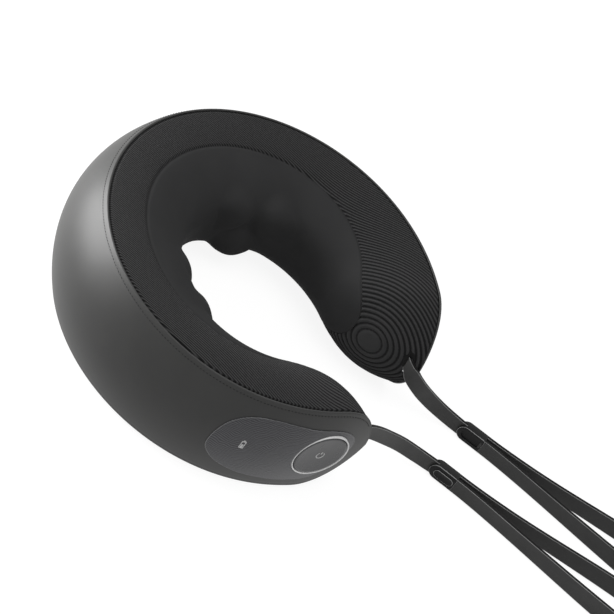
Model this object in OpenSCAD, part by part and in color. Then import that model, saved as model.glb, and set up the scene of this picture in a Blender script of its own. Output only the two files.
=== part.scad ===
// Shiatsu neck massager: a horseshoe collar with two kneading heads, a control panel and two hand straps.
// Millimetres, +Z up. The origin is the centre of the neck opening, on the surface that the collar lies on.
// The collar's back is towards +Y, its two tips and the straps are towards -Y, the control panel is on the -X arm.

/* [Collar] */
// Mean radius of the rim curve, seen from above
rim_radius = 110; // [104:1:116]
// How far the rim curve reaches further back than forward
rim_reach = 55; // [50:1:58]
// Oval shaping of the rim curve
rim_oval = 8.5; // [7:0.5:10]
// Three-sided shaping of the rim curve, which draws the tips together
rim_pinch = -3; // [-4:0.5:-2]
// Half of the angle that the collar sweeps round the neck
sweep = 142; // [138:1:145]
// Height of the collar
collar_h = 74; // [70:1:78]
// Width of the collar at the back, from the rim to the inner wall
collar_w = 63; // [60:1:66]
// How far the outer wall bellies out past the rim
belly = 11.5; // [8:0.5:13]
// How far the padding flattens where the collar lies on a table
rest_flat = 0.8; // [0.3:0.1:1]

/* [Covers and shells] */
// Thickness of the leather cover
leather_t = 1.4; // [1:0.1:1.6]
// Thickness of the ribbed knit cover
knit_t = 1.2; // [0.8:0.1:1.4]
// Thickness of the stretch fabric on the inner wall
stretch_t = 1; // [0.8:0.1:1.2]
// Thickness of the foam under the covers
foam_t = 2.9; // [2:0.1:3]
// Wall of the plastic chassis
chassis_t = 2.2; // [1.8:0.1:2.5]

/* [Kneading heads] */
// Angle of each kneading head round the collar, from the back
head_angle = 38; // [36:1:40]
// Radius of the circle that the massage nodes travel on
node_orbit = 18; // [16:0.5:19]
// Radius of a massage node
node_r = 9; // [8:0.5:9.5]
// How far the nodes push the stretch fabric past the wall
node_push = 6; // [5:0.5:9]
// Gear module
gear_module = 0.9; // [0.8:0.05:1]
// Teeth on the output gear
wheel_teeth = 40; // [36:2:44]
// Teeth on the motor's pinion
pinion_teeth = 16; // [16:2:20]

/* [Control panel] */
// Angle of the panel's centre round the collar
panel_angle = 103; // [100:1:106]
// Half of the angle that the panel spans
panel_half_angle = 26; // [24:0.5:27]
// Half of the panel's height
panel_half_h = 23; // [20:0.5:25]
// Angle of the power button round the collar
button_angle = 114; // [112:1:116]
// Radius of the power button
button_r = 17; // [15:0.5:18]
// Travel of the power button
button_travel = 0.6; // [0.4:0.1:0.8]

/* [Straps] */
// Width of the strap
strap_w = 10.7; // [9:0.1:12]
// Thickness of the strap
strap_t = 2.2; // [2:0.1:2.4]
// Length of a hand loop
loop_length = 185; // [160:5:220]
// Half width of a hand loop
loop_half_w = 21; // [18:0.5:22]
// How much wider the band is in the middle of a hand loop
loop_widening = 3.6; // [0:0.2:5]

/* [Hidden] */

$fn = 48;
mid = collar_h / 2 - rest_flat;          // height of the collar's middle plane
section_q = 2.7;                         // squareness of the section's inner side
seam_end = 0.85;                         // share of the sweep at which the inner seams meet
seam_angle = seam_end * sweep;
nose_share = 0.998;                      // how close to its nose a cover is drawn
inset_angle = 1.1;                       // degrees by which a layer ends earlier, per millimetre of depth
layer_gap = 0.4;                         // air between two layers
knit_in = 0.4;                           // how far the fabric lies below the leather's edge
foam_in = knit_in + knit_t + layer_gap + 0.1;
chassis_in = foam_in + foam_t + layer_gap + 0.4;
chassis_end = 117;                       // angle at which the chassis ends, before the tips
split_gap = 0.15;                        // half of the gap between the two chassis halves

// ---- The collar's surface -------------------------------------------------------------------------------

function rim_rho(t) = rim_radius + rim_reach * cos(t) + rim_oval * cos(2 * t) + rim_pinch * cos(3 * t);
function rim_slope(t) = -(rim_reach * sin(t) + 2 * rim_oval * sin(2 * t) + 3 * rim_pinch * sin(3 * t));
function rim_xy(t) = rim_rho(t) * [sin(t), cos(t)];
function along(t) =
    let (r = rim_rho(t), s = rim_slope(t), v = [s * sin(t) + r * cos(t), s * cos(t) - r * sin(t)])
    v / norm(v);
function outward(t) = let (d = along(t)) [-d[1], d[0]];

// Falls from 1 at start to 0 at the nose
function closing(a, start, power) = a <= start ? 1 : pow(max(0, 1 - pow((a - start) / (1 - start), 2)), power);
function reach(depth) = sweep - inset_angle * depth;
function section_w(a) = (collar_w - 25 * pow(a, 2) + 16 * pow(a, 4)) * closing(a, 0.71, 0.8);
function section_h(a) = collar_h / 2 * closing(a, 0.8, 0.68);
// A layer's inset shrinks where the section itself becomes narrow or low
function inset_n(a, depth) = let (w = section_w(a)) depth * w * w / (w * w + 81);
function inset_z(a, depth) = let (h = section_h(a)) depth * h * h / (h * h + 25);
function section_belly(a) = belly * (1 - a * a);
function seam_share(t) = let (a = min(1, abs(t) / seam_angle)) 0.4 + 0.6 * pow(a, 1.75);
function seam_phi(t) = acos(min(1, pow(seam_share(t), section_q / 2)));

// A point at station t, n outward from the rim and z above the middle plane
function place(t, n, z) =
    let (r = rim_xy(t), o = outward(t)) [r[0] + n * o[0], r[1] + n * o[1], mid + max(z, -mid)];
// The outer wall: v runs from -1 at the lower rim to 1 at the upper rim
function belly_point(t, v, depth) =
    let (a = abs(t) / reach(depth))
    place(t, section_belly(a) * (1 - v * v) - inset_n(a, depth), v * (section_h(a) - inset_z(a, depth)));
// The top, inner wall and underside: phi runs from 90 at the upper rim to -90 at the lower rim
function wall_point(t, phi, depth) =
    let (a = abs(t) / reach(depth), p = 2 / section_q, d = inset_n(a, depth))
    place(t, -d - (section_w(a) - 2 * d) * pow(abs(cos(phi)), p),
          sign(phi) * pow(abs(sin(phi)), p) * (section_h(a) - inset_z(a, depth)));

// Stations from one tip to the other: even along the arms and closer together towards each nose
function half_stations(arm, tip, depth) = concat(
    [for (i = [0 : arm - 1]) seam_angle * i / arm],
    [for (j = [0 : tip]) seam_angle + (nose_share * reach(depth) - seam_angle) * sin(90 * j / tip)]);
function stations(arm, tip, depth) =
    let (h = half_stations(arm, tip, depth)) concat([for (i = [len(h) - 1 : -1 : 1]) -h[i]], h);
function steps(from, to, count) = [for (i = [0 : count]) from + (to - from) * i / count];

// A closed skin between an outer and an inner grid of points. Where split is given, the grid is open between
// column split and the next one, except in the rows marked in joined, where the two columns are one.
module skin(outer, inner, split = -1, joined = []) {
    rows = len(outer);
    cols = len(outer[0]);
    function same(i, j) = split >= 0 && j == split + 1 && joined[i] ? split : j;
    function id(l, i, j) = l * rows * cols + i * cols + same(i, j);
    cells = [for (j = [0 : cols - 2]) if (j != split) j];
    edges_low = concat([0], split >= 0 ? [split + 1] : []);
    edges_high = concat([cols - 1], split >= 0 ? [split] : []);
    function open(i, j) = j == 0 || j == cols - 1 || !(joined[i] && joined[i + 1]);
    function quad(a, b, c, d) = [[a, b, c], [a, c, d]];
    faces = concat(
        [for (i = [0 : rows - 2], j = cells)
            each quad(id(0, i, j), id(0, i + 1, j), id(0, i + 1, j + 1), id(0, i, j + 1))],
        [for (i = [0 : rows - 2], j = cells)
            each quad(id(1, i, j + 1), id(1, i + 1, j + 1), id(1, i + 1, j), id(1, i, j))],
        [for (i = [0 : rows - 2], j = edges_low) if (open(i, j))
            each quad(id(0, i, j), id(1, i, j), id(1, i + 1, j), id(0, i + 1, j))],
        [for (i = [0 : rows - 2], j = edges_high) if (open(i, j))
            each quad(id(0, i, j), id(0, i + 1, j), id(1, i + 1, j), id(1, i, j))],
        [for (j = cells)
            each quad(id(0, 0, j), id(0, 0, j + 1), id(1, 0, j + 1), id(1, 0, j))],
        [for (j = cells)
            each quad(id(0, rows - 1, j + 1), id(0, rows - 1, j), id(1, rows - 1, j), id(1, rows - 1, j + 1))]);
    flat = [for (g = [outer, inner], r = g) each r];
    polyhedron(points = flat, faces = faces, convexity = 10);
}

// A strip of the outer wall, which stops short of the seam by the share margin
module belly_skin(depth, thick, arm, tip, across, margin) {
    edge = 1 - margin;
    function grid(d) =
        [for (t = stations(arm, tip, d)) [for (v = steps(-edge, edge, across)) belly_point(t, v, d)]];
    skin(grid(depth), grid(depth + thick));
}

// A wrap over the top, round both tips and along the underside, open along the inner wall
module wrap_skin(depth, thick, arm, tip, across) {
    function row(t, d) = concat([for (p = steps(90, seam_phi(t), across)) wall_point(t, p, d)],
                                [for (p = steps(-seam_phi(t), -90, across)) wall_point(t, p, d)]);
    function grid(d) = [for (t = stations(arm, tip, d)) row(t, d)];
    skin(grid(depth), grid(depth + thick), across,
         [for (t = stations(arm, tip, depth)) abs(t) > seam_angle - 0.001]);
}

// ---- Local frames ---------------------------------------------------------------------------------------

module mirrored(side) {
    if (side < 0) mirror([1, 0, 0]) children();
    else children();
}

// A frame on the rim of the +X arm: +X towards the tip, +Y outward, +Z up from the middle plane
module at_station(t) {
    r = rim_xy(t);
    d = along(t);
    translate([r[0], r[1], mid]) rotate([0, 0, atan2(d[1], d[0])]) children();
}

head_lift = 2;                                          // the heads' centre above the middle plane
head_out = outward(head_angle);
head_w = section_w(head_angle / sweep);
head_xy = rim_xy(head_angle) - head_w * head_out;       // where a head's axis meets the inner wall
node_angles = [30, 150, 270];

// A frame on a head's axis: +Z out of the inner wall towards the neck, +Y up, +X towards the tip
module at_head() {
    translate([head_xy[0], head_xy[1], mid + head_lift])
        rotate([90, 0, atan2(-head_out[0], head_out[1])]) children();
}

// ---- Covers and foam ------------------------------------------------------------------------------------

button_xy = rim_xy(button_angle) + section_belly(button_angle / sweep) * outward(button_angle);

// A frame on the power button's axis: +Z out of the panel
module at_button() {
    o = outward(button_angle);
    translate([-button_xy[0], button_xy[1], mid]) rotate([90, 0, atan2(o[1], -o[0]) + 90]) children();
}

port_angle = 100;                                       // the charging port, on the +X arm
port_n = section_belly(port_angle / sweep);

module at_port() {
    at_station(port_angle) translate([0, port_n, 0]) rotate([-90, 0, 0]) children();
}

module rounded_plate(w, h, r, thick) {
    linear_extrude(thick) union() {
        square([w - 2 * r, h], center = true);
        square([w, h - 2 * r], center = true);
        for (x = [-1, 1], y = [-1, 1]) translate([x * (w / 2 - r), y * (h / 2 - r)]) circle(r);
    }
}

anchor = [45, -37, 4];                                  // the strap rivet, above the middle plane
anchor_turn = -124.7;                                   // heading of the strap as it leaves the tip

// A frame on the strap rivet of the +X arm: +X out of the tip, +Y along the rivet
module at_anchor() {
    translate([anchor[0], anchor[1], mid + anchor[2]]) rotate([0, 0, anchor_turn]) children();
}

module strap_slits(slit_w, back) {
    for (side = [-1, 1]) mirrored(side) at_anchor()
        translate([-back, -slit_w / 2, -9.5]) cube([back + 16, slit_w, 21]);
}

module leather_cover() {
    color("#3c3c3c") difference() {
        belly_skin(0, leather_t, 18, 8, 10, 0.012);
        at_button() translate([0, 0, -10]) cylinder(r = button_r + 1.6, h = 20);
        at_port() translate([0, 0, -8]) rounded_plate(15.4, 8.4, 4, 16);
    }
}

module ribbed_cover() {
    color("#262626") difference() {
        wrap_skin(knit_in, knit_t, 18, 8, 7);
        strap_slits(5.6, 0);
    }
}

// How strongly the nodes lift the stretch fabric at point p of the +X half
bump_spread = 12.5;
function head_depth(p) = (p[0] - head_xy[0]) * head_out[0] + (p[1] - head_xy[1]) * head_out[1];
function head_side(p) = (p[0] - head_xy[0]) * head_out[1] - (p[1] - head_xy[1]) * head_out[0];
function lift_share(p) = min(1, sum_of([for (a = node_angles)
    let (r = norm([head_side(p) - node_orbit * cos(a), p[2] - mid - head_lift - node_orbit * sin(a)]))
    exp(-pow(r / bump_spread, 3))]));
function sum_of(v, i = 0) = i >= len(v) ? 0 : v[i] + sum_of(v, i + 1);
function lifted(p) =
    let (s = p[0] < 0 ? -1 : 1, h = [abs(p[0]), p[1], p[2]], k = (head_depth(h) + node_push) * lift_share(h))
    [p[0] - s * head_out[0] * k, p[1] - head_out[1] * k, p[2]];

module inner_cover() {
    edge = 2.2;                                         // degrees of phi left free beside each seam
    function row(t, d) = let (f = max(0.4, seam_phi(t) - edge))
        [for (p = steps(f, -f, 14)) lifted(wall_point(t, p, d))];
    function grid(d) = [for (t = steps(-seam_angle + 5, seam_angle - 5, 60)) row(t, d)];
    color("#303030") skin(grid(knit_in), grid(knit_in + stretch_t));
}

module cover_foam() {
    color("#8a8a80") difference() {
        wrap_skin(foam_in, foam_t, 15, 6, 5);
        strap_slits(9, 11.5);
    }
}

module outer_foam() {
    color("#8a8a80") difference() {
        belly_skin(leather_t + layer_gap, foam_t, 16, 6, 8, 0.03);
        at_button() translate([0, 0, -12]) cylinder(r = button_r + 2, h = 24);
        at_port() translate([0, 0, -10]) rounded_plate(17, 10, 4, 20);
    }
}

// ---- Chassis --------------------------------------------------------------------------------------------

// Chassis screws: angle on the arm, distance from the rim, half of the boss's height
screws = [[0, -14, 29.8], [59, -14, 29.8], [112, -27, 24]];
boss_r = 3.4;
floor_z = mid - collar_h / 2 + chassis_in + chassis_t;   // inner face of the chassis floor

// Upright rods on the axis of every screw: they start foot above the boss's lower end and run up to top above
// the middle plane, or top_share boss half heights beyond it
module screw_rods(r, foot, top, top_share = 0) {
    for (side = [-1, 1], s = screws) if (side > 0 || s[0] > 0)
        mirrored(side) at_station(s[0]) translate([0, s[1], foot - s[2]])
            cylinder(r = r, h = top + s[2] * (1 + top_share) - foot);
}

module chassis_half(upper) {
    function row(t, d) = upper
        ? concat([for (v = steps(split_gap / 30, 1, 4)) belly_point(t, v, d)],
                 [for (p = steps(84, seam_phi(t) + 2, 5)) wall_point(t, p, d)])
        : concat([for (p = steps(-seam_phi(t) - 2, -84, 5)) wall_point(t, p, d)],
                 [for (v = steps(-1, -split_gap / 30, 4)) belly_point(t, v, d)]);
    function grid(d) = [for (t = steps(-chassis_end, chassis_end, 32)) row(t, d)];
    skin(grid(chassis_in), grid(chassis_in + chassis_t));
}

module chassis_cuts() {
    at_button() translate([0, 0, -14]) cylinder(r = 6, h = 24);
    at_port() translate([0, 0, -16]) rounded_plate(11.4, 5.4, 2, 24);
}

ceiling = mid - floor_z;                                // inside height of a chassis half at the back

module mirror_z() {
    translate([0, 0, mid]) mirror([0, 0, 1]) translate([0, 0, -mid]) children();
}

// Posts that stand on the button's station and carry the main board
module board_posts(z) {
    mirrored(-1) at_station(button_angle) for (p = [[-30, -6.6], [0, -3.6]])
        translate([p[0], p[1], z]) rotate([90, 0, 0]) cylinder(r = 2, h = p[1] - board_n - 0.05);
}

module chassis_top() {
    color("#d8d8d4") difference() {
        union() {
            chassis_half(true);
            mirror_z() screw_rods(boss_r, 0, -split_gap);
            board_posts(11);
            for (side = [-1, 1]) mirrored(side) at_head()
                translate([-9, gearbox_half_h + 0.1, case_z[0] + 1])
                    cube([18, ceiling - head_lift - gearbox_half_h - 0.7, 6]);
        }
        chassis_cuts();
        screw_rods(1.3, 0, 12);
    }
}

module chassis_bottom() {
    color("#d8d8d4") difference() {
        union() {
            chassis_half(false);
            screw_rods(boss_r, 0, -split_gap);
            board_posts(-11);
            for (side = [-1, 1]) mirrored(side) at_head()
                translate([-9, 0.6 - ceiling - head_lift, case_z[0] + 1])
                    cube([18, ceiling + head_lift - gearbox_half_h - 0.7, 6]);
            at_station(battery_angle) translate([-20, -29, -27.9]) cube([40, 8, 5.85]);
        }
        chassis_cuts();
        screw_rods(1.7, -3, 3);
        screw_rods(3.05, -3, 4.6, -1);
    }
}

module chassis_screws() {
    color("#b0b0b0") {
        screw_rods(2.9, 2.6, 4.55, -1);
        screw_rods(1.25, 4.5, 10);
    }
}

// A strip of plastic grille behind the inner wall, between two angles
module frame_strip(from, to, depth, thick, count, inner_share) {
    function row(t, d) = let (f = seam_phi(t) * inner_share) [for (p = steps(f, -f, 8)) wall_point(t, p, d)];
    function grid(d) = [for (t = steps(from, to, count)) row(t, d)];
    skin(grid(depth), grid(depth + thick));
}

module inner_frame_back() {
    color("#d8d8d4") frame_strip(-8, 8, chassis_in, chassis_t, 5, 0.92);
}

module inner_frame(side) {
    color("#d8d8d4") mirrored(side) frame_strip(68, 112, chassis_in, chassis_t, 8, 0.9);
}

module heating_pad(side) {
    color("#b87333") mirrored(side) frame_strip(74, 106, chassis_in - 1.4, 0.8, 7, 0.7);
}

// ---- Kneading heads -------------------------------------------------------------------------------------

wheel_r = gear_module * wheel_teeth / 2;
gearbox_half_h = wheel_r + 3.8;
pinion_r = gear_module * pinion_teeth / 2;
gear_centres = wheel_r + pinion_r;
pressure_angle = 20;
gear_backlash = 0.22;                                   // arc by which each tooth is thinner, at the pitch circle

// The depths below are on the head's axis, measured from the inner wall
carrier_z = [-12, -8.3];
cover_z = [-17, -14.5];
gear_z = [-24, -19];
case_z = [-34, -17];
shaft_r = 4;
bush_r = 6.5;
motor_r = 12;
motor_end = -56;
motor_shaft_r = 1.6;
post_r = 3;

function involute_turn(r_base, r) = let (a = sqrt(pow(r / r_base, 2) - 1) * 180 / PI) a - atan(a * PI / 180);

// A spur gear profile with one tooth centred on +X
module gear_profile(teeth) {
    r = gear_module * teeth / 2;
    base = r * cos(pressure_angle);
    tip = r + 0.85 * gear_module;
    root = r - 1.15 * gear_module;
    half = (90 / teeth) - gear_backlash / 2 / r * 180 / PI + involute_turn(base, r);
    radii = steps(max(base, root), tip, 5);
    function flank(s) = [for (q = radii) let (turn = half - involute_turn(base, max(q, base)))
        q * [cos(s * turn), sin(s * turn)]];
    function reversed(v) = [for (i = [len(v) - 1 : -1 : 0]) v[i]];
    function turned(p, a) = [p[0] * cos(a) - p[1] * sin(a), p[0] * sin(a) + p[1] * cos(a)];
    tooth = concat([root * [cos(half), -sin(half)]], flank(-1), reversed(flank(1)),
                   [root * [cos(half), sin(half)]]);
    polygon([for (k = [0 : teeth - 1], p = tooth) turned(p, k * 360 / teeth)]);
}

module gearbox_outline(wall) {
    circle(r = wheel_r + 2 + wall);
    translate([gear_centres, 0]) circle(r = pinion_r + 2.8 + wall);
    translate([0, -pinion_r - 2.8 - wall]) square([gear_centres, 2 * (pinion_r + 2.8 + wall)]);
}

case_screws = [[-15.5, 14.5], [-15.5, -14.5], [gear_centres + 2, 13.4], [gear_centres + 2, -13.4]];

module gearbox_lugs() {
    for (p = case_screws) translate(p) circle(r = 3);
}

module gearbox_case(side) {
    color("#cfcfc8") mirrored(side) at_head() difference() {
        translate([0, 0, case_z[0]]) linear_extrude(case_z[1] - case_z[0]) union() {
            gearbox_outline(1.8);
            gearbox_lugs();
        }
        translate([0, 0, case_z[0] + 2.5]) linear_extrude(20) gearbox_outline(0);
        translate([0, 0, case_z[0] - 1]) cylinder(r = bush_r + 0.02, h = 6);
        translate([gear_centres, 0, case_z[0] - 1]) cylinder(r = 3, h = 6);
        for (p = case_screws) translate([p[0], p[1], case_z[1] - 9]) cylinder(r = 1.05, h = 12);
    }
}

module gearbox_cover(side) {
    color("#cfcfc8") mirrored(side) at_head() difference() {
        translate([0, 0, cover_z[0] + 0.05]) linear_extrude(cover_z[1] - cover_z[0] - 0.05) union() {
            gearbox_outline(1.8);
            gearbox_lugs();
        }
        translate([0, 0, cover_z[0] - 1]) cylinder(r = bush_r + 0.02, h = 6);
        for (p = case_screws) translate([p[0], p[1], cover_z[0] - 1]) cylinder(r = 1.3, h = 6);
    }
}

module gearbox_screws(side) {
    color("#b0b0b0") mirrored(side) at_head() for (p = case_screws) translate([p[0], p[1], 0]) {
        translate([0, 0, cover_z[1] + 0.05]) cylinder(r = 2.2, h = 1.3);
        translate([0, 0, cover_z[1] - 9]) cylinder(r = 1, h = 9.1);
    }
}

module shaft_bushes(side) {
    color("#b08d57") mirrored(side) at_head() for (z = [case_z[0] - 0.5, cover_z[0] - 0.6])
        translate([0, 0, z]) difference() {
            cylinder(r = bush_r, h = 3.6);
            translate([0, 0, -1]) cylinder(r = shaft_r + 0.05, h = 8);
        }
}

module output_shaft(side) {
    color("#a8a8a8") mirrored(side) at_head() difference() {
        translate([0, 0, case_z[0]]) cylinder(r = shaft_r, h = carrier_z[0] + 1.4 - case_z[0]);
        translate([0, 0, carrier_z[1] - 10]) cylinder(r = 1.25, h = 12);
    }
}

module output_gear(side) {
    color("#e8e4d8") mirrored(side) at_head() translate([0, 0, gear_z[0]]) linear_extrude(gear_z[1] - gear_z[0])
        difference() {
            gear_profile(wheel_teeth);
            circle(r = shaft_r + 0.02);
        }
}

module head_carrier(side) {
    color("#55585c") mirrored(side) at_head() {
        difference() {
            union() {
                translate([0, 0, carrier_z[0]]) linear_extrude(carrier_z[1] - carrier_z[0]) union() {
                    circle(r = 10);
                    for (a = node_angles) rotate(a) {
                        translate([0, -5]) square([node_orbit, 10]);
                        translate([node_orbit, 0]) circle(r = 7.5);
                    }
                }
                for (a = node_angles) rotate(a) translate([node_orbit, 0, carrier_z[1] - 1])
                    cylinder(r = post_r, h = 7);
            }
            translate([0, 0, carrier_z[0] - 1]) cylinder(r = shaft_r + 0.02, h = 2.5);
            translate([0, 0, carrier_z[0] - 1]) cylinder(r = 1.6, h = 8);
        }
        translate([0, 0, carrier_z[1] + 0.05]) cylinder(r = 2.8, h = 1.6);
        translate([0, 0, carrier_z[1] - 8]) cylinder(r = 1.2, h = 8.1);
    }
}

module massage_nodes(side) {
    color("#3a3a3a") mirrored(side) at_head() for (a = node_angles) rotate(a) translate([node_orbit, 0, 0])
        difference() {
            union() {
                intersection() {
                    translate([0, 0, node_push - 1.5 - node_r]) sphere(r = node_r);
                    translate([0, 0, node_push - 1.5 - node_r]) cylinder(r = node_r + 1, h = node_r + 1);
                }
                translate([0, 0, carrier_z[1] + 0.05])
                    cylinder(r = node_r, h = node_push - 1.5 - node_r - carrier_z[1]);
            }
            translate([0, 0, carrier_z[1] - 1]) cylinder(r = post_r + 0.05, h = 7.2);
        }
}

module motor(side) {
    color("#b8bcc0") mirrored(side) at_head() translate([gear_centres, 0, 0]) {
        translate([0, 0, motor_end]) cylinder(r = motor_r, h = case_z[0] - motor_end - 0.05);
        translate([0, 0, motor_end - 1.5]) cylinder(r = 4, h = 2);
        difference() {
            translate([0, 0, case_z[0] - 1]) cylinder(r = 2.9, h = 3);
            translate([0, 0, case_z[0] - 0.5]) cylinder(r = motor_shaft_r + 0.05, h = 4);
        }
    }
}

module motor_pinion(side) {
    gap = 180 / pinion_teeth;                           // turns a gap towards the wheel
    color("#b08d57") mirrored(side) at_head() translate([gear_centres, 0, 0]) {
        translate([0, 0, gear_z[0] - 0.5]) linear_extrude(gear_z[1] - gear_z[0] + 1)
            rotate(180 + gap) gear_profile(pinion_teeth);
        translate([0, 0, case_z[0] + 0.05]) cylinder(r = motor_shaft_r, h = gear_z[1] - case_z[0] + 1.2);
    }
}

// ---- Battery, boards and panel --------------------------------------------------------------------------

battery_angle = 82;
cell_r = 9.1;
cell_l = 65;
battery_n = -28;

module battery_cells() {
    color("#3f6fa8") at_station(battery_angle) for (z = [-9.6, 9.6])
        translate([-cell_l / 2, battery_n, z]) rotate([0, 90, 0]) {
            cylinder(r = cell_r, h = cell_l);
            translate([0, 0, cell_l]) cylinder(r = 2.8, h = 1);
        }
}

module battery_tray() {
    w = 2 * cell_r + 4;
    color("#50545a") at_station(battery_angle) difference() {
        translate([-cell_l / 2 - 2, battery_n - w / 2, -22]) cube([cell_l + 5.2, w, 22]);
        translate([-cell_l / 2 - 0.2, battery_n - w / 2 + 1.8, -20]) cube([cell_l + 1.6, w - 3.6, 30]);
    }
}

board_n = -18;
switch_z = board_n - section_belly(button_angle / sweep);

module main_board() {
    color("#2f6b46") mirrored(-1) at_station(button_angle) {
        translate([-36, board_n - 1.6, -15]) cube([43, 1.6, 30]);
        for (p = [[-30, -8], [-20, 5], [-8, -9]]) translate([p[0], board_n - 3.4, p[1]]) cube([7, 2, 5]);
    }
}

module power_switch() {
    color("#909090") at_button() {
        translate([-3.5, -3.5, switch_z + 0.05]) cube([7, 7, 3]);
        translate([0, 0, switch_z + 3]) cylinder(r = 1.8, h = 0.9);
    }
}

// The panel's outline is a rounded oval drawn on the outer wall
function panel_point(r, a, depth) =
    let (p = 2 / 2.6,
         t = panel_angle + panel_half_angle * r * sign(cos(a)) * pow(abs(cos(a)), p),
         z = panel_half_h * r * sign(sin(a)) * pow(abs(sin(a)), p),
         h = section_h(t / sweep))
    belly_point(t, z / h, depth);

module panel_lens() {
    rings = [0.02, 0.3, 0.55, 0.75, 0.9, 1];
    turns = 48;
    function grid(d) = [for (k = [0 : turns - 1]) [for (r = rings) panel_point(r, k * 360 / turns, d)]];
    outer = grid(-1);
    inner = grid(-0.15);
    n = len(rings);
    function id(l, k, j) = l * turns * n + (k % turns) * n + j;
    function quad(a, b, c, d) = [[a, b, c], [a, c, d]];
    faces = concat(
        [for (k = [0 : turns - 1], j = [0 : n - 2])
            each quad(id(0, k, j + 1), id(0, k + 1, j + 1), id(0, k + 1, j), id(0, k, j))],
        [for (k = [0 : turns - 1], j = [0 : n - 2])
            each quad(id(1, k, j), id(1, k + 1, j), id(1, k + 1, j + 1), id(1, k, j + 1))],
        [for (k = [0 : turns - 1])
            each quad(id(1, k, n - 1), id(1, k + 1, n - 1), id(0, k + 1, n - 1), id(0, k, n - 1))],
        [[for (k = [0 : turns - 1]) id(0, k, 0)], [for (k = [turns - 1 : -1 : 0]) id(1, k, 0)]]);
    color("#34343a") difference() {
        mirror([1, 0, 0]) polyhedron(points = [for (g = [outer, inner], r = g) each r], faces = faces);
        at_button() translate([0, 0, -10]) cylinder(r = button_r + 1.5, h = 20);
    }
}

dish_depth = 1.1;                                       // how far the button's face dips at its middle

module power_button() {
    stem_end = switch_z + 3.9 + button_travel + 0.1;
    color("#26262a") at_button() rotate_extrude()
        polygon(concat([[0, stem_end], [3.5, stem_end], [3.5, -3.5], [button_r, -3.5], [button_r, 0.2]],
                       [for (r = [16, 13, 10, 7, 4, 0]) [r * button_r / 17,
                           0.7 - dish_depth * (1 - r * r / 256)]]));
}

module power_ring() {
    color("white") at_button() translate([0, 0, -5.4]) difference() {
        cylinder(r = button_r + 1.4, h = 5.8);
        translate([0, 0, -1]) cylinder(r = button_r + 0.3, h = 12);
    }
}

module charge_bezel() {
    color("#202020") at_port() difference() {
        translate([0, 0, -5]) rounded_plate(14.6, 7.6, 3.7, 5.6);
        translate([0, 0, -9]) rounded_plate(9.4, 3.5, 1.7, 20);
    }
}

module charge_socket() {
    color("#c0c0c0") at_port() translate([0, 0, -15]) {
        difference() {
            rounded_plate(9.2, 3.3, 1.6, 13);
            translate([0, 0, 1]) rounded_plate(8.6, 2.7, 1.3, 20);
        }
        translate([-3.2, -0.35, 0.5]) cube([6.4, 0.7, 10]);
    }
}

module charge_board() {
    color("#2f6b46") at_port() translate([-8, 1.8, -16]) cube([16, 1.4, 6.4]);
}

// ---- Straps ---------------------------------------------------------------------------------------------

strap_z = strap_w / 2 + 0.3;                            // height of a strap's middle where it lies on its edge
keeper_start = [[18.8, -94, 1.1], [63.9, -94, 1.7]];    // x, y and heading of each keeper: left, right
keeper_l = 20;
// Routes of the two straps, from the rivet to the keeper
lead_left = [[-43.2, -39.6, 40.2], [-41.5, -42.1, 40.2], [-38.8, -45.2, 39.8], [-34.6, -48, 38.8], [-24.3, -54, 33.8],
             [-11.8, -61.8, 26], [0.9, -71.2, 17.8], [11.6, -83, 10.2], [17.2, -92.5, 6.4], [18.8, -98.5, strap_z]];
lead_right = [[43.2, -39.6, 40.2], [41.5, -42.1, 40.2], [40, -45.2, 38.9], [39.6, -49, 35.6], [40.8, -53, 31.4],
              [45.2, -60.2, 24.8], [51.2, -67.6, 18], [57.6, -77.4, 11.4], [62.4, -89.5, 6.8], [63.9, -98.5, strap_z]];

// A smooth curve through the points of a route
function spline(p, i, u) =
    let (a = p[max(i - 1, 0)], b = p[i], c = p[i + 1], d = p[min(i + 2, len(p) - 1)])
    0.5 * (2 * b + (c - a) * u + (2 * a - 5 * b + 4 * c - d) * u * u + (3 * b - a - 3 * c + d) * u * u * u);
function smooth(p, count) = concat([for (i = [0 : len(p) - 2], k = [0 : count - 1]) spline(p, i, k / count)],
                                   [p[len(p) - 1]]);
function heading(path, i) =
    let (d = path[min(i + 1, len(path) - 1)] - path[max(i - 1, 0)]) d / norm(d);

// A flat strap on its edge, swept along a path, with its width at each point
module band(path, widths) {
    function ring(i) =
        let (t = heading(path, i), s = cross(t, [0, 0, 1]), side = s / norm(s), up = cross(side, t))
        [for (k = [[1, 1], [-1, 1], [-1, -1], [1, -1]])
            path[i] + k[0] * strap_t / 2 * side + k[1] * widths[i] / 2 * up];
    n = len(path);
    rings = [for (i = [0 : n - 1]) each ring(i)];
    polyhedron(points = rings, convexity = 10, faces = concat(
        [for (i = [0 : n - 2], k = [0 : 3]) [4 * i + k, 4 * i + (k + 1) % 4, 4 * i + 4 + (k + 1) % 4]],
        [for (i = [0 : n - 2], k = [0 : 3]) [4 * i + k, 4 * i + 4 + (k + 1) % 4, 4 * i + 4 + k]],
        [[0, 3, 2], [0, 2, 1]],
        [[4 * n - 4, 4 * n - 3, 4 * n - 2], [4 * n - 4, 4 * n - 2, 4 * n - 1]]));
}

rivet_r = 1.6;
ear_gap = strap_t / 2 + 0.2;
ear_t = 1.6;

module tip_bracket(side) {
    color("#3a3a3a") mirrored(side) at_anchor() difference() {
        translate([-9.6, -ear_gap - ear_t, -7]) cube([11.4, 2 * (ear_gap + ear_t), 14]);
        translate([-6.5, -ear_gap, -10]) cube([30, 2 * ear_gap, 20]);
        translate([0, 10, 0]) rotate([90, 0, 0]) cylinder(r = rivet_r + 0.02, h = 20);
    }
}

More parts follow.
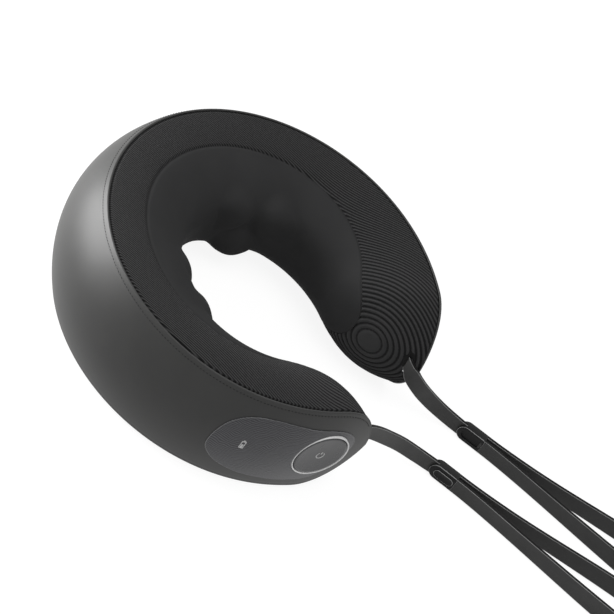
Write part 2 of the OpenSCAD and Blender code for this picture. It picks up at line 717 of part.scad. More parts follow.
module strap_rivet(side) {
    color("#c0c0c0") mirrored(side) at_anchor() rotate([90, 0, 0])
        translate([0, 0, -ear_gap - ear_t]) cylinder(r = rivet_r, h = 2 * (ear_gap + ear_t));
}

module strap_lead(side) {
    color("#3c3c3c") difference() {
        union() {
            route = smooth(side < 0 ? lead_left : lead_right, 4);
            band(route, [for (p = route) strap_w]);
            mirrored(side) at_anchor() rotate([90, 0, 0])
                translate([0, 0, 0.15 - strap_t / 2]) cylinder(r = strap_w / 2, h = strap_t - 0.3);
        }
        mirrored(side) at_anchor() rotate([90, 0, 0])
            translate([0, 0, -5]) cylinder(r = rivet_r + 0.06, h = 10);
    }
}

module at_keeper(side) {
    k = keeper_start[side < 0 ? 0 : 1];
    translate([k[0], k[1], 0]) rotate([0, 0, k[2]]) children();
}

keeper_h = 11.2;
keeper_w = 7.1;
run_side = strap_t + 0.05;                              // how far each run of a loop lies beside the middle of its keeper

// A stadium on its side, in the keeper's frame: length along -Y, height along Z, thickness along X
module stadium(l, h, thick) {
    rotate([90, 0, -90]) linear_extrude(thick) union() {
        translate([h / 2, 0]) circle(h / 2);
        translate([l - h / 2, 0]) circle(h / 2);
        translate([h / 2, -h / 2]) square([l - h, h]);
    }
}

module strap_keeper(side) {
    z = strap_z + 0.05;
    color("#2a2a2c") at_keeper(side) difference() {
        union() {
            translate([keeper_w / 2, 0, z]) stadium(keeper_l + 4, keeper_h, keeper_w);
            if (side < 0) translate([-keeper_w / 2 + 0.5, -3.6, z]) stadium(14, 5.8, 1.2);
        }
        if (side > 0) translate([-keeper_w / 2 + 1.4, -3.6, z]) stadium(14.4, 6.6, 3);
    }
}

// The hand loop: a teardrop whose two runs start side by side in the keeper and whose band widens for the hand
module strap_loop(side) {
    turns = [for (i = [0 : 60]) 6 * i];
    wide = [for (a = turns) strap_w + loop_widening * pow(sin(max(0, min(90, (min(a, 360 - a) - 50) * 1.125))), 2)];
    path = [for (i = [0 : 60]) let (a = turns[i])
        [loop_half_w * sign(sin(a)) * pow(abs(sin(a)), 0.75) * pow(sin(a / 2), 2.4) + run_side * cos(a / 2),
         -keeper_l - loop_length * (1 - cos(a)) / 2, 0.3 + wide[i] / 2]];
    color("#3c3c3c") at_keeper(side) band(path, wide);
}

// ---- Assembly -------------------------------------------------------------------------------------------

leather_cover();
ribbed_cover();
inner_cover();
cover_foam();
outer_foam();
chassis_top();
chassis_bottom();
inner_frame_back();
inner_frame(-1);  // inner_frame_left
inner_frame(1);  // inner_frame_right
heating_pad(-1);  // heating_pad_left
heating_pad(1);  // heating_pad_right
chassis_screws();
gearbox_case(-1);  // gearbox_case_left
gearbox_case(1);  // gearbox_case_right
gearbox_cover(-1);  // gearbox_cover_left
gearbox_cover(1);  // gearbox_cover_right
gearbox_screws(-1);  // gearbox_screws_left
gearbox_screws(1);  // gearbox_screws_right
shaft_bushes(-1);  // shaft_bushes_left
shaft_bushes(1);  // shaft_bushes_right
output_shaft(-1);  // output_shaft_left
output_shaft(1);  // output_shaft_right
output_gear(-1);  // output_gear_left
output_gear(1);  // output_gear_right
head_carrier(-1);  // head_carrier_left
head_carrier(1);  // head_carrier_right
massage_nodes(-1);  // massage_nodes_left
massage_nodes(1);  // massage_nodes_right
motor(-1);  // motor_left
motor(1);  // motor_right
motor_pinion(-1);  // motor_pinion_left
motor_pinion(1);  // motor_pinion_right
battery_cells();
battery_tray();
main_board();
power_switch();
panel_lens();
power_button();
power_ring();
charge_board();
charge_socket();
charge_bezel();
tip_bracket(-1);  // tip_bracket_left
tip_bracket(1);  // tip_bracket_right
strap_rivet(-1);  // strap_rivet_left
strap_rivet(1);  // strap_rivet_right
strap_lead(-1);  // strap_lead_left
strap_lead(1);  // strap_lead_right
strap_keeper(-1);  // strap_keeper_left
strap_keeper(1);  // strap_keeper_right
strap_loop(-1);  // strap_loop_left
strap_loop(1);  // strap_loop_right
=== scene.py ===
# Shiatsu neck massager: a horseshoe collar in leather and ribbed knit, with a control panel and two hand
# straps.
import math
import bpy
import bmesh
import numpy as np
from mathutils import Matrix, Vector
from mathutils.bvhtree import BVHTree


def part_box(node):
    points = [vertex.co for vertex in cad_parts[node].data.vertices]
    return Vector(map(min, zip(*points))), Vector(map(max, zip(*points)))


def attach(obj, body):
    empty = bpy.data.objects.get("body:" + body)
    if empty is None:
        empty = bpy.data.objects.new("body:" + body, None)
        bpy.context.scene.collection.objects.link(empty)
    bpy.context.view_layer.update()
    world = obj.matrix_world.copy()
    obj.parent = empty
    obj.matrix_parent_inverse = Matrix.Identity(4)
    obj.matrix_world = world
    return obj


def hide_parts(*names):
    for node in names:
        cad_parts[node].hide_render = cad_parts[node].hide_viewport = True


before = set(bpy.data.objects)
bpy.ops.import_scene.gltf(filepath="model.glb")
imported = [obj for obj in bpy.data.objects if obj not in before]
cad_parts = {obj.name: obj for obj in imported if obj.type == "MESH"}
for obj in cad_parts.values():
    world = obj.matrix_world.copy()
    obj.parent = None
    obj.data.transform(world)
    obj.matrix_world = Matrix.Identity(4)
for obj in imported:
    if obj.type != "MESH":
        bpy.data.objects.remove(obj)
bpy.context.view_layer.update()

# ---- Camera ---------------------------------------------------------------------------------------------
# A long lens three metres away, looking down on the panel side with the collar's back turned up and to the
# left. It aims at the middle of the collar's height.

MM = 0.001
REST_DEPTH = 36.2                   # millimetres from the collar's middle plane down to the table
CAMERA_AWAY = 3.0
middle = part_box("ribbed_cover")[0][2] + REST_DEPTH * MM
view_right = Vector((0.39582, -0.78222, 0.48111))
view_up = Vector((0.50615, 0.62296, 0.59643))
view_back = view_right.cross(view_up).normalized()
lens = bpy.data.cameras.new("studio_camera")
lens.lens = 290.6
lens.sensor_width = 36
lens.shift_x = -0.0267
lens.shift_y = 0.0770
lens.clip_end = 50
camera = bpy.data.objects.new("studio_camera", lens)
bpy.context.scene.collection.objects.link(camera)
turn = camera.matrix_world.copy()
for row in range(3):
    turn[row][0], turn[row][1], turn[row][2] = view_right[row], view_up[row], view_back[row]
    turn[row][3] = view_back[row] * CAMERA_AWAY + (middle if row == 2 else 0)
camera.matrix_world = turn
bpy.context.scene.camera = camera

# ---- Floor and light ------------------------------------------------------------------------------------
# A white studio sweep. A wide soft box and a small low one stand behind the collar's back, a third hangs
# overhead, and the room fills in the rest.


def add_node(tree, kind, inputs=None, **settings):
    made = tree.nodes.new("ShaderNode" + kind)
    for key, value in settings.items():
        setattr(made, key, value)
    for key, value in (inputs or {}).items():
        if isinstance(value, bpy.types.NodeSocket):
            tree.links.new(value, made.inputs[key])
        else:
            made.inputs[key].default_value = value
    return made


def empty_tree(tree):
    tree.nodes.clear()
    return tree


def seen_rays(tree):
    """1 for the rays that meet plain white: the camera's own, mirrored ones and ones that pass through."""
    rays = add_node(tree, "LightPath")
    clear = add_node(tree, "Math", {0: rays.outputs["Is Glossy Ray"], 1: rays.outputs["Is Transmission Ray"]},
                     operation="MAXIMUM")
    shown = add_node(tree, "Math", {0: rays.outputs["Is Camera Ray"], 1: clear.outputs[0]},
                     operation="MAXIMUM")
    return shown.outputs[0]


room = bpy.data.worlds.new("white_room")
room.use_nodes = True
bpy.context.scene.world = room
sky = empty_tree(room.node_tree)
fill = add_node(sky, "Background", {"Color": (1, 1, 1, 1), "Strength": 0.42})
white = add_node(sky, "Background", {"Color": (1, 1, 1, 1), "Strength": 1.0})
seen = add_node(sky, "MixShader", {0: seen_rays(sky), 1: fill.outputs[0], 2: white.outputs[0]})
add_node(sky, "OutputWorld", {"Surface": seen.outputs[0]})

floor_mesh = bpy.data.meshes.new("floor")
floor_mesh.from_pydata([(-6, -6, 0), (6, -6, 0), (6, 6, 0), (-6, 6, 0)], [], [(0, 1, 2, 3)])
floor = bpy.data.objects.new("floor", floor_mesh)
bpy.context.scene.collection.objects.link(floor)
floor.location.z = -0.0003
paper = bpy.data.materials.new("white_paper")
paper.use_nodes = True
tree = empty_tree(paper.node_tree)
matt = add_node(tree, "BsdfDiffuse", {"Color": (0.86, 0.86, 0.86, 1)})
glow = add_node(tree, "Emission", {"Color": (1, 1, 1, 1), "Strength": 1.12})
share = add_node(tree, "Math", {0: seen_rays(tree), 1: 0.8}, operation="MULTIPLY")
both = add_node(tree, "MixShader", {0: share.outputs[0], 1: matt.outputs[0], 2: glow.outputs[0]})
add_node(tree, "OutputMaterial", {"Surface": both.outputs[0]})
floor_mesh.materials.append(paper)


def soft_box(name, spot, aim, width, height, power):
    light = bpy.data.lights.new(name, "AREA")
    light.shape = "RECTANGLE"
    light.size, light.size_y, light.energy = width, height, power
    lamp = bpy.data.objects.new(name, light)
    bpy.context.scene.collection.objects.link(lamp)
    lamp.location = spot
    lamp.rotation_euler = (Vector(aim) - Vector(spot)).to_track_quat("-Z", "Y").to_euler()


soft_box("back_light", (-0.2, 1.35, 0.5), (-0.05, 0.05, 0.03), 0.9, 0.6, 9)
soft_box("low_light", (-0.06, 0.36, 0.075), (-0.08, 0.13, 0.04), 0.2, 0.15, 1.15)
soft_box("top_light", (-0.25, -0.1, 1.6), (0, 0, 0), 1.3, 1.3, 12)

# ---- Leather outer wall ---------------------------------------------------------------------------------
# Smooth grey leather over thin foam. It is cut as one long band, turned in over a soft rolled edge along both
# rims, and lock-stitched just below them. It ends in a point at each tip.

RIM = (110, 55, 8.5, -3)            # the rim curve's radius and its three shaping terms
SWEEP = 142                         # degrees from the back to a nose
NOSE_END = 0.99995                  # share of the sweep at which the covers close
HALF_H = 37                         # half of the collar's height before the padding flattens on the table
ROLL = 0.8                          # radius of the leather's rolled edge
SEAM_DROP = 2.4                     # from the rolled edge down to the row of stitches
SQUARE = 2.7                        # how square the section is: 2 is an ellipse


def rim_curve(t):
    """Rim point and outward direction at station t, in degrees from the back."""
    r, k = np.radians(t), RIM
    rho = k[0] + k[1] * np.cos(r) + k[2] * np.cos(2 * r) + k[3] * np.cos(3 * r)
    slope = -(k[1] * np.sin(r) + 2 * k[2] * np.sin(2 * r) + 3 * k[3] * np.sin(3 * r))
    point = np.stack([rho * np.sin(r), rho * np.cos(r)], -1)
    run = np.stack([slope * np.sin(r) + rho * np.cos(r), slope * np.cos(r) - rho * np.sin(r)], -1)
    run /= np.linalg.norm(run, axis=-1, keepdims=True)
    return point, np.stack([-run[..., 1], run[..., 0]], -1)


def closing(a, start, power):
    return np.maximum(0, 1 - np.maximum(0, (a - start) / (1 - start)) ** 2) ** power


def section_w(a):
    return (63 - 25 * a ** 2 + 16 * a ** 4) * closing(a, 0.71, 0.8)


def section_h(a):
    return HALF_H * closing(a, 0.8, 0.68)


def section_belly(a):
    return 11.5 * (1 - a ** 2)


def place(t, n, z):
    """World point in metres: n outward from the rim and z above the middle, both in millimetres."""
    point, out = rim_curve(t)
    xy = point + out * np.asarray(n)[..., None]
    return np.concatenate([xy * MM, (middle + np.maximum(z, -REST_DEPTH) * MM)[..., None]], -1)


def smooth_step(x, low, high):
    x = np.clip((x - low) / (high - low), 0, 1)
    return x * x * (3 - 2 * x)


def resample(curve, count, ease=0.0):
    """Points at even arc length along every row of curve; ease moves them towards both ends."""
    gap = np.linalg.norm(np.diff(curve, axis=1), axis=-1)
    run = np.concatenate([np.zeros((len(curve), 1)), np.cumsum(gap, axis=1)], 1)
    u = np.linspace(0, 1, count)
    u = (1 - ease) * u + ease * (1 - np.cos(math.pi * u)) / 2
    rows = []
    for c, s in zip(curve, run):
        rows.append(np.stack([np.interp(u * s[-1], s, c[:, k]) for k in range(c.shape[1])], -1))
    return np.array(rows)


def mesh_object(name, points, faces, material, smooth=True):
    mesh = bpy.data.meshes.new(name)
    mesh.from_pydata(np.asarray(points, float).reshape(-1, 3).tolist(), [], faces)
    mesh.polygons.foreach_set("use_smooth", [smooth] * len(mesh.polygons))
    mesh.materials.append(material)
    mesh.update()
    made = bpy.data.objects.new(name, mesh)
    bpy.context.scene.collection.objects.link(made)
    return made


def grid_faces(rows, cols, close_rows=False, close_cols=False, start=0):
    i, j = np.meshgrid(np.arange(rows - (not close_rows)), np.arange(cols - (not close_cols)), indexing="ij")
    i, j = i.ravel(), j.ravel()
    i2, j2 = (i + 1) % rows, (j + 1) % cols
    return (np.stack([i * cols + j, i2 * cols + j, i2 * cols + j2, i * cols + j2], -1) + start).tolist()


def clean_up(made, distance=1e-6):
    """Welds points that fall together, drops what that leaves without area and turns the faces outward."""
    work = bmesh.new()
    work.from_mesh(made.data)
    bmesh.ops.remove_doubles(work, verts=work.verts, dist=distance)
    bmesh.ops.dissolve_degenerate(work, edges=work.edges, dist=1e-7)
    bmesh.ops.recalc_face_normals(work, faces=work.faces)
    work.to_mesh(made.data)
    work.free()


def stations(arm, tip):
    """Stations from one nose to the other: even along the arms, closer together towards each nose."""
    one = np.concatenate([np.linspace(0, 120, arm, endpoint=False),
                          120 + (NOSE_END * SWEEP - 120) * np.sin(np.linspace(0, math.pi / 2, tip))])
    return np.concatenate([-one[:0:-1], one])


def leather_rows(t):
    """The leather's closed section at each station: outer face, rolled edge, inner face, rolled edge."""
    a = np.abs(t) / SWEEP
    h, b = section_h(a)[:, None], section_belly(a)[:, None]
    e = ROLL * h / (h + 3)
    z_end = h - e
    share = np.sin(np.linspace(-1, 1, 61) * math.pi / 2 * 0.93) / math.sin(math.pi / 2 * 0.93)
    z = share[None, :] * z_end
    n = b * (1 - (z / h) ** 2)
    seam = np.exp(-((z_end - np.abs(z) - SEAM_DROP) / 0.55) ** 2) * 0.16 * h / (h + 8)
    n = n - seam                                            # the stitches pull the leather in
    lean = np.arctan2(2 * b * z_end / h ** 2, 1)            # how far the outer face leans in at the rim
    end_n = b * (1 - (z_end / h) ** 2)
    centre_n, centre_z = end_n - e * np.cos(lean), z_end - e * np.sin(lean)
    arc = lean + np.linspace(0.12, 1, 9)[None, :] * (math.pi - lean * 0.6)
    top_n, top_z = centre_n + e * np.cos(arc), centre_z + e * np.sin(arc)
    inner_z = np.linspace(1, -1, 21)[None, :] * top_z[:, -1:]
    inner_n = b * (1 - (inner_z / h) ** 2) - 2 * e - 0.1 * h / (h + 8)
    inner_n[:, 0], inner_n[:, -1] = top_n[:, -1], top_n[:, -1]
    n = np.concatenate([n, top_n, inner_n[:, 1:-1], top_n[:, ::-1]], 1)
    z = np.concatenate([z, top_z, inner_z[:, 1:-1], -top_z[:, ::-1]], 1)
    return place(t[:, None] + 0 * n, n, z)


def new_group(name, inputs, outputs):
    """A shader node group with number sockets, and its two end nodes; inputs holds the default values."""
    group = bpy.data.node_groups.new(name, "ShaderNodeTree")
    for label, value in inputs.items():
        socket = group.interface.new_socket(label, in_out="INPUT", socket_type="NodeSocketFloat")
        socket.default_value = value
    for label in outputs:
        group.interface.new_socket(label, in_out="OUTPUT", socket_type="NodeSocketFloat")
    return group, group.nodes.new("NodeGroupInput"), group.nodes.new("NodeGroupOutput")


grain, came, went = new_group("Fine_grain", {"Size": 1.0, "Blotch": 40.0}, ("Height", "Mottle"))
where = add_node(grain, "TexCoord")
rate = add_node(grain, "Math", {0: 1000.0, 1: came.outputs["Size"]}, operation="DIVIDE")
pebble = add_node(grain, "TexVoronoi", {"Vector": where.outputs["Object"], "Scale": rate.outputs[0]},
                  feature="SMOOTH_F1")
dust = add_node(grain, "TexNoise", {"Vector": where.outputs["Object"], "Scale": rate.outputs[0],
                                    "Detail": 4.0})
cloud = add_node(grain, "TexNoise", {"Vector": where.outputs["Object"], "Scale": came.outputs["Blotch"],
                                     "Detail": 3.0, "Roughness": 0.55})
mixed = add_node(grain, "Math", {0: pebble.outputs["Distance"], 1: 0.6, 2: dust.outputs["Fac"]},
                 operation="MULTIPLY_ADD")
grain.links.new(mixed.outputs[0], went.inputs["Height"])
grain.links.new(cloud.outputs["Fac"], went.inputs["Mottle"])


def spaced(values):
    """Keyword names turned into the names of sockets."""
    return {key.replace("_", " "): value for key, value in values.items()}


def new_material(name, **constants):
    """A node material with its Principled shader; constants are set on the shader's own sockets."""
    made = bpy.data.materials.new(name)
    made.use_nodes = True
    tree = empty_tree(made.node_tree)
    shader = add_node(tree, "BsdfPrincipled", spaced(constants))
    add_node(tree, "OutputMaterial", {"Surface": shader.outputs[0]})
    return made, tree, shader


def use_group(tree, group, **values):
    return add_node(tree, "Group", spaced(values), node_tree=group)


def ramp(tree, factor, stops):
    made = add_node(tree, "ValToRGB", {"Fac": factor})
    while len(made.color_ramp.elements) < len(stops):
        made.color_ramp.elements.new(0.5)
    for element, (spot, colour) in zip(made.color_ramp.elements, stops):
        element.position = spot
        element.color = (colour, colour, colour, 1) if isinstance(colour, float) else (*colour, 1)
    return made.outputs["Color"]


def mottle_into(tree, shader, fine, socket, low, high, spots=(0.3, 0.7)):
    """Drives one of the shader's sockets between low and high by the grain's slow mottle."""
    blend = ramp(tree, fine.outputs["Mottle"], [(spots[0], low), (spots[1], high)])
    tree.links.new(blend, shader.inputs[socket])


def bump_into(tree, shader, height, distance, strength=1.0, below=None):
    inputs = {"Height": height, "Distance": distance, "Strength": strength}
    if below is not None:
        inputs["Normal"] = below
    made = add_node(tree, "Bump", inputs)
    tree.links.new(made.outputs[0], shader.inputs["Normal"])
    return made.outputs[0]


def grained(name, low, high, size, blotch, rough=None, depth=None, strength=1.0, spots=(0.3, 0.7),
            **constants):
    """A material whose colour, and with rough its roughness, drifts with the grain; depth gives it relief."""
    made, tree, shader = new_material(name, **constants)
    fine = use_group(tree, grain, Size=size, Blotch=blotch)
    mottle_into(tree, shader, fine, "Base Color", low, high, spots)
    if rough:
        mottle_into(tree, shader, fine, "Roughness", *rough)
    if depth:
        bump_into(tree, shader, fine.outputs["Height"], depth, strength)
    return made


leather = grained("smooth_leather", (0.019, 0.019, 0.0185), (0.024, 0.024, 0.0232), 0.55, 28.0, (0.44, 0.50),
                  0.00003, 0.6, (0.35, 0.65), IOR=1.45, Specular_IOR_Level=0.42)

BUTTON_ANGLE = 114                  # degrees round the collar from the back
WELL_R = (17.7, 19.4)               # radius of the well's floor and of its brim
WELL_DEPTH = 6.4
button_rim, button_out = rim_curve(np.array(float(BUTTON_ANGLE)))
button_xy = (button_rim + section_belly(BUTTON_ANGLE / SWEEP) * button_out) * np.array([-1, 1])
button_spot = np.array([button_xy[0] * MM, button_xy[1] * MM, middle])
button_out = np.array([-button_out[0], button_out[1], 0.0])

wall_t = stations(190, 60)
rows = leather_rows(wall_t)
from_button = rows - button_spot
depth = from_button @ button_out
from_axis = np.linalg.norm(from_button - depth[..., None] * button_out, axis=-1) / MM
well = np.where(np.abs(depth) < 0.012, 1 - smooth_step(from_axis, *WELL_R), 0)
rows = rows - button_out * (well * WELL_DEPTH * MM)[..., None]
around = rows.shape[1]
leather_wall = mesh_object("leather_wall", rows, grid_faces(len(rows), around, close_cols=True), leather)
ends = [tuple(range(around)), tuple(len(rows) * around - 1 - k for k in range(around))]
work = bmesh.new()
work.from_mesh(leather_wall.data)
work.verts.ensure_lookup_table()
for ring in ends:
    work.faces.new([work.verts[k] for k in ring])
work.to_mesh(leather_wall.data)
work.free()
clean_up(leather_wall)
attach(leather_wall, "collar")
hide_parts("leather_cover")

# ---- Ribbed knit wrap -----------------------------------------------------------------------------------
# One piece of charcoal knit covers the top, runs round both tips and covers the underside. Its ribs follow
# the arms and close into rings round each tip. It is tucked under the leather and sewn to the stretch cloth.

SEAM_END = 120.7                    # station at which the two inner seams meet
SEAM_GROOVE = 0.8                   # depth and reach of the groove that the inner seam draws in
TIP_RINGS = (37, -17, -1.5)         # where the rings are centred on the tip: |x|, y, z from the middle


def seam_phi(t):
    share = 0.4 + 0.6 * np.minimum(1, np.abs(t) / SEAM_END) ** 1.75
    return np.arccos(np.minimum(1, share ** (SQUARE / 2)))


def seam_fade(t):
    """1 along the inner seams, fading to 0 where the two meet."""
    return smooth_step(SEAM_END - np.abs(t), 0.0, 2.5)[:, None]


def seam_groove(away, fade):
    return SEAM_GROOVE * np.exp(-(away / SEAM_GROOVE) ** 2) * fade


def wall_nz(t, phi, depth):
    """Offsets in mm out from the rim and up from the middle, depth mm inside the inner side's surface."""
    a = np.abs(t) / (SWEEP - 1.1 * depth)
    w, h = section_w(a), section_h(a)
    d = depth * w * w / (w * w + 81)
    dz = depth * h * h / (h * h + 25)
    p = 2 / SQUARE
    return (-d - (w - 2 * d) * np.abs(np.cos(phi)) ** p, np.sign(phi) * np.abs(np.sin(phi)) ** p * (h - dz))


def grid_normals(points):
    du, dv = np.gradient(points, axis=0), np.gradient(points, axis=1)
    normal = np.cross(du, dv)
    return normal / np.maximum(np.linalg.norm(normal, axis=-1, keepdims=True), 1e-12)


spans = np.linspace(0, 400, 4001)
turns = np.cumsum(1 / (1.5 + 2.7 * np.exp(-(spans / 32) ** 2))) * 0.1
turns -= np.interp(8.6, spans, turns) - 0.5


def rib_count(p):
    """At world points p: distance from the middle of the tip's rings, and ribs counted out from there."""
    x, y, z = np.abs(p[..., 0]) / MM, p[..., 1] / MM, (p[..., 2] - middle) / MM
    dx, dy, dz = x - TIP_RINGS[0], y - TIP_RINGS[1], z - TIP_RINGS[2]
    far = np.sqrt(dx ** 2 + dz ** 2 + 2500 * (1 - np.exp(-dy ** 2 / 2500)))
    straight = (x - 12 - 400) / 1.5 + turns[-1]             # even ribs that run across the back
    w = smooth_step(y, 30, 100)
    return far, (1 - w) * np.maximum(0, np.interp(far, spans, turns)) + w * straight


def wrap_strip(t, top, columns):
    """One strip of the wrap, from the tucked edge at the rim to the inner seam."""
    sign = 1 if top else -1
    a = np.abs(t) / SWEEP
    h = section_h(a)[:, None]
    k = h / (h + 4) * np.minimum(1, section_w(a)[:, None] / 16)
    end = seam_phi(t)
    u = np.linspace(0, 1, 220)[None, :]
    phi = (math.pi / 2 - 1e-4) + (end[:, None] - (math.pi / 2 - 1e-4)) * u ** 1.3
    tt = t[:, None] + 0 * phi
    n, z = wall_nz(tt, phi, 0.4)
    keep = 3.3 * k                                          # how far from the rim the flat cloth starts
    start = [np.interp(-near, row[::-1], ph[::-1]) for near, row, ph in zip(keep[:, 0], n, phi)]
    start = np.maximum(np.array(start)[:, None], end[:, None] + 1e-4)
    phi = start + (end[:, None] - start) * u
    n, z = wall_nz(tt, phi, 0.4)
    flat = resample(place(tt, n, z * sign), columns)
    edge_n = np.array([[-0.5, -1.7, -2.15, -2.35, -2.6, -2.95]]) * k
    edge_z = h - np.array([[1.8, 1.8, 1.65, 1.2, 0.75, 0.5]]) * k
    edge = place(t[:, None] + 0 * edge_n, edge_n, edge_z * sign)
    points = np.concatenate([edge, flat], 1)
    normal = grid_normals(points)
    if np.sum(normal[..., 2]) * sign < 0:
        normal = -normal
    away = np.cumsum(np.concatenate([np.linalg.norm(np.diff(points[:, ::-1], axis=1), axis=-1) * 1000,
                                     np.zeros((len(t), 1))], 1), axis=1)[:, ::-1]
    away = np.concatenate([away[:, 1:], np.zeros((len(t), 1))], 1)
    fade = seam_fade(t)
    far, count = rib_count(points)
    tucked = smooth_step(np.arange(points.shape[1]), 4, 8)[None, :]
    wave = np.cos(2 * math.pi * count)
    relief = (0.36 * (1 - smooth_step(far, 24, 52))) * (wave - 1) * tucked
    relief = relief * (1 - 0.7 * np.exp(-(away / 1.5) ** 2) * fade)
    moved = points + normal * ((relief - seam_groove(away, fade)) * MM)[..., None]
    moved[..., 2] = np.maximum(moved[..., 2], middle - REST_DEPTH * MM)
    return moved, count, 1 - np.exp(-far / 30)


arm_t = np.linspace(0, 88, 60, endpoint=False)
near_t = 88 + (SEAM_END - 88) * np.sin(np.linspace(0, math.pi / 2, 76, endpoint=False))
nose_t = SEAM_END + (SWEEP * NOSE_END - SEAM_END) * np.sin(np.linspace(0, math.pi / 2, 52))
half_t = np.concatenate([arm_t, near_t, nose_t])
wrap_t = np.concatenate([-half_t[:0:-1], half_t])
upper, upper_count, upper_fine = wrap_strip(wrap_t, True, 84)
lower, lower_count, lower_fine = wrap_strip(wrap_t, False, 84)
meet = np.abs(wrap_t) >= SEAM_END - 1e-6
lower[meet, -1] = upper[meet, -1]
columns = upper.shape[1]
points = np.concatenate([upper.reshape(-1, 3), lower.reshape(-1, 3)])
upper_faces = grid_faces(len(wrap_t), columns)
lower_faces = [f[::-1] for f in grid_faces(len(wrap_t), columns, start=len(wrap_t) * columns)]

knit, came, went = new_group("Knit", {"Stitch": 0.8}, ("Height", "Fuzz"))
where = add_node(knit, "TexCoord")
rate = add_node(knit, "Math", {0: 1000.0, 1: came.outputs["Stitch"]}, operation="DIVIDE")
loops = add_node(knit, "TexVoronoi", {"Vector": where.outputs["Object"], "Scale": rate.outputs[0],
                                      "Randomness": 0.35}, feature="F1")
fluff = add_node(knit, "TexNoise", {"Vector": where.outputs["Object"], "Scale": 900.0, "Detail": 3.0})
knit.links.new(loops.outputs["Distance"], went.inputs["Height"])
knit.links.new(fluff.outputs["Fac"], went.inputs["Fuzz"])

ribbed, tree, shader = new_material("ribbed_knit", Sheen_Weight=0.04, Sheen_Roughness=0.5,
                                    Specular_IOR_Level=0.06, Roughness=0.9)
rib = add_node(tree, "Attribute", attribute_name="rib")
parts = add_node(tree, "SeparateXYZ", {"Vector": rib.outputs["Vector"]})
turned = add_node(tree, "Math", {0: parts.outputs["X"], 1: 2 * math.pi}, operation="MULTIPLY")
wave = add_node(tree, "Math", {0: turned.outputs[0]}, operation="COSINE")
lifted = add_node(tree, "Math", {0: wave.outputs[0], 1: parts.outputs["Y"]}, operation="MULTIPLY")
yarn = use_group(tree, knit, Stitch=0.7)
# Painted light on the knit: the rib crests are painted lighter and the grooves darker, and the knit is
# painted lighter towards each tip. Only the fuzz adds real random tone.
ridge = add_node(tree, "MapRange", {0: wave.outputs[0], 1: -1.0, 2: 1.0, 3: 0.0, 4: 1.0})
rib_painted_shade = add_node(tree, "Math", {0: ridge.outputs[0], 1: 0.75, 2: 0.0}, operation="MULTIPLY_ADD")
lift = add_node(tree, "MapRange", {0: parts.outputs["Y"], 1: 0.0, 2: 1.0, 3: 0.55, 4: 0.0})
light = add_node(tree, "Math", {0: rib_painted_shade.outputs[0], 1: lift.outputs[0]}, operation="ADD")
fuzz_and_painted_light = add_node(tree, "Math", {0: yarn.outputs["Fuzz"], 1: 0.5, 2: light.outputs[0]},
                operation="MULTIPLY_ADD")
tree.links.new(ramp(tree, fuzz_and_painted_light.outputs[0], [(0.1, (0.007, 0.007, 0.0072)), (0.6, (0.0135, 0.0135, 0.0138)),
                                            (1.0, (0.044, 0.044, 0.0446))]),
               shader.inputs["Base Color"])
first = bump_into(tree, shader, yarn.outputs["Height"], 0.00012, 0.5)
bump_into(tree, shader, lifted.outputs[0], 0.00022, 1.0, first)

ribbed_wrap = mesh_object("ribbed_wrap", points, upper_faces + lower_faces, ribbed)
marks = ribbed_wrap.data.attributes.new("rib", "FLOAT_VECTOR", "POINT")
counts = np.concatenate([upper_count.ravel(), lower_count.ravel()])
finest = np.concatenate([upper_fine.ravel(), lower_fine.ravel()])
marks.data.foreach_set("vector", np.stack([counts, finest, 0 * counts], -1).astype(np.float32).ravel())
clean_up(ribbed_wrap)
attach(ribbed_wrap, "collar")
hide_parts("ribbed_cover")

# ---- Stretch cloth of the inner wall --------------------------------------------------------------------
# A smoother stretch knit spans the inner wall between the two seams. The turning heads push against it from
# behind, so it stands a little off the wall around each head.

inner_t = np.concatenate([np.linspace(0, 96, 110, endpoint=False),
                          96 + (SEAM_END - 96) * np.sin(np.linspace(0, math.pi / 2, 46))])
inner_t = np.concatenate([-inner_t[:0:-1], inner_t])
u = np.linspace(1, -1, 160)[None, :]
phi = seam_phi(inner_t)[:, None] * u
tt = inner_t[:, None] + 0 * phi
n, z = wall_nz(tt, phi, 0.4)
wall = resample(place(tt, n, z), 75, ease=0.45)

HEAD_ANGLE = 38                     # degrees round the collar from the back
NODE_ORBIT = 18                     # from the head's axis to a node's middle
NODE_PUSH = 6.0                     # how far out of the wall the nodes reach
NODE_ANGLES = (30, 150, 270)
head_point, head_out = rim_curve(np.array(float(HEAD_ANGLE)))
head_xy = head_point - section_w(HEAD_ANGLE / SWEEP) * head_out


def head_axes(side):
    """Point on the wall, and the axes out of the wall, along the arm and up, of one head, in metres."""
    point = np.array([head_xy[0] * side * MM, head_xy[1] * MM, middle + 2 * MM])
    out = np.array([-head_out[0] * side, -head_out[1], 0])
    along = np.array([head_out[1] * side, -head_out[0], 0])
    return point, out, along, np.array([0, 0, 1.0])


away = np.minimum(np.cumsum(np.concatenate([np.zeros((len(inner_t), 1)),
                                            np.linalg.norm(np.diff(wall, axis=1), axis=-1)], 1), axis=1), 1)
from_edge = np.minimum(away, away[:, -1:] - away) * 1000
normal = grid_normals(wall)
if normal[wall.shape[0] // 2, wall.shape[1] // 2, 1] > 0:
    normal = -normal
wall = wall - normal * (seam_groove(from_edge, seam_fade(inner_t)) * MM)[..., None]


def raised(p, side, share):
    """Moves points of the wall along a head's axis, towards the plane that the nodes reach."""
    point, out, along, up = head_axes(side)
    depth = (p - point) @ out
    return p + out * ((NODE_PUSH * MM - depth) * share)[..., None]


for side in (-1, 1):
    point, out, along, up = head_axes(side)
    across = np.hypot((wall - point) @ along, (wall - point) @ up) / MM
    near = (np.sign(wall[..., 0]) == side) & (across < 40)
    share = np.where(near, 0.3 * (1 - smooth_step(across, 18, 39)), 0) * smooth_step(from_edge, 0, 7)
    wall = raised(wall, side, share)

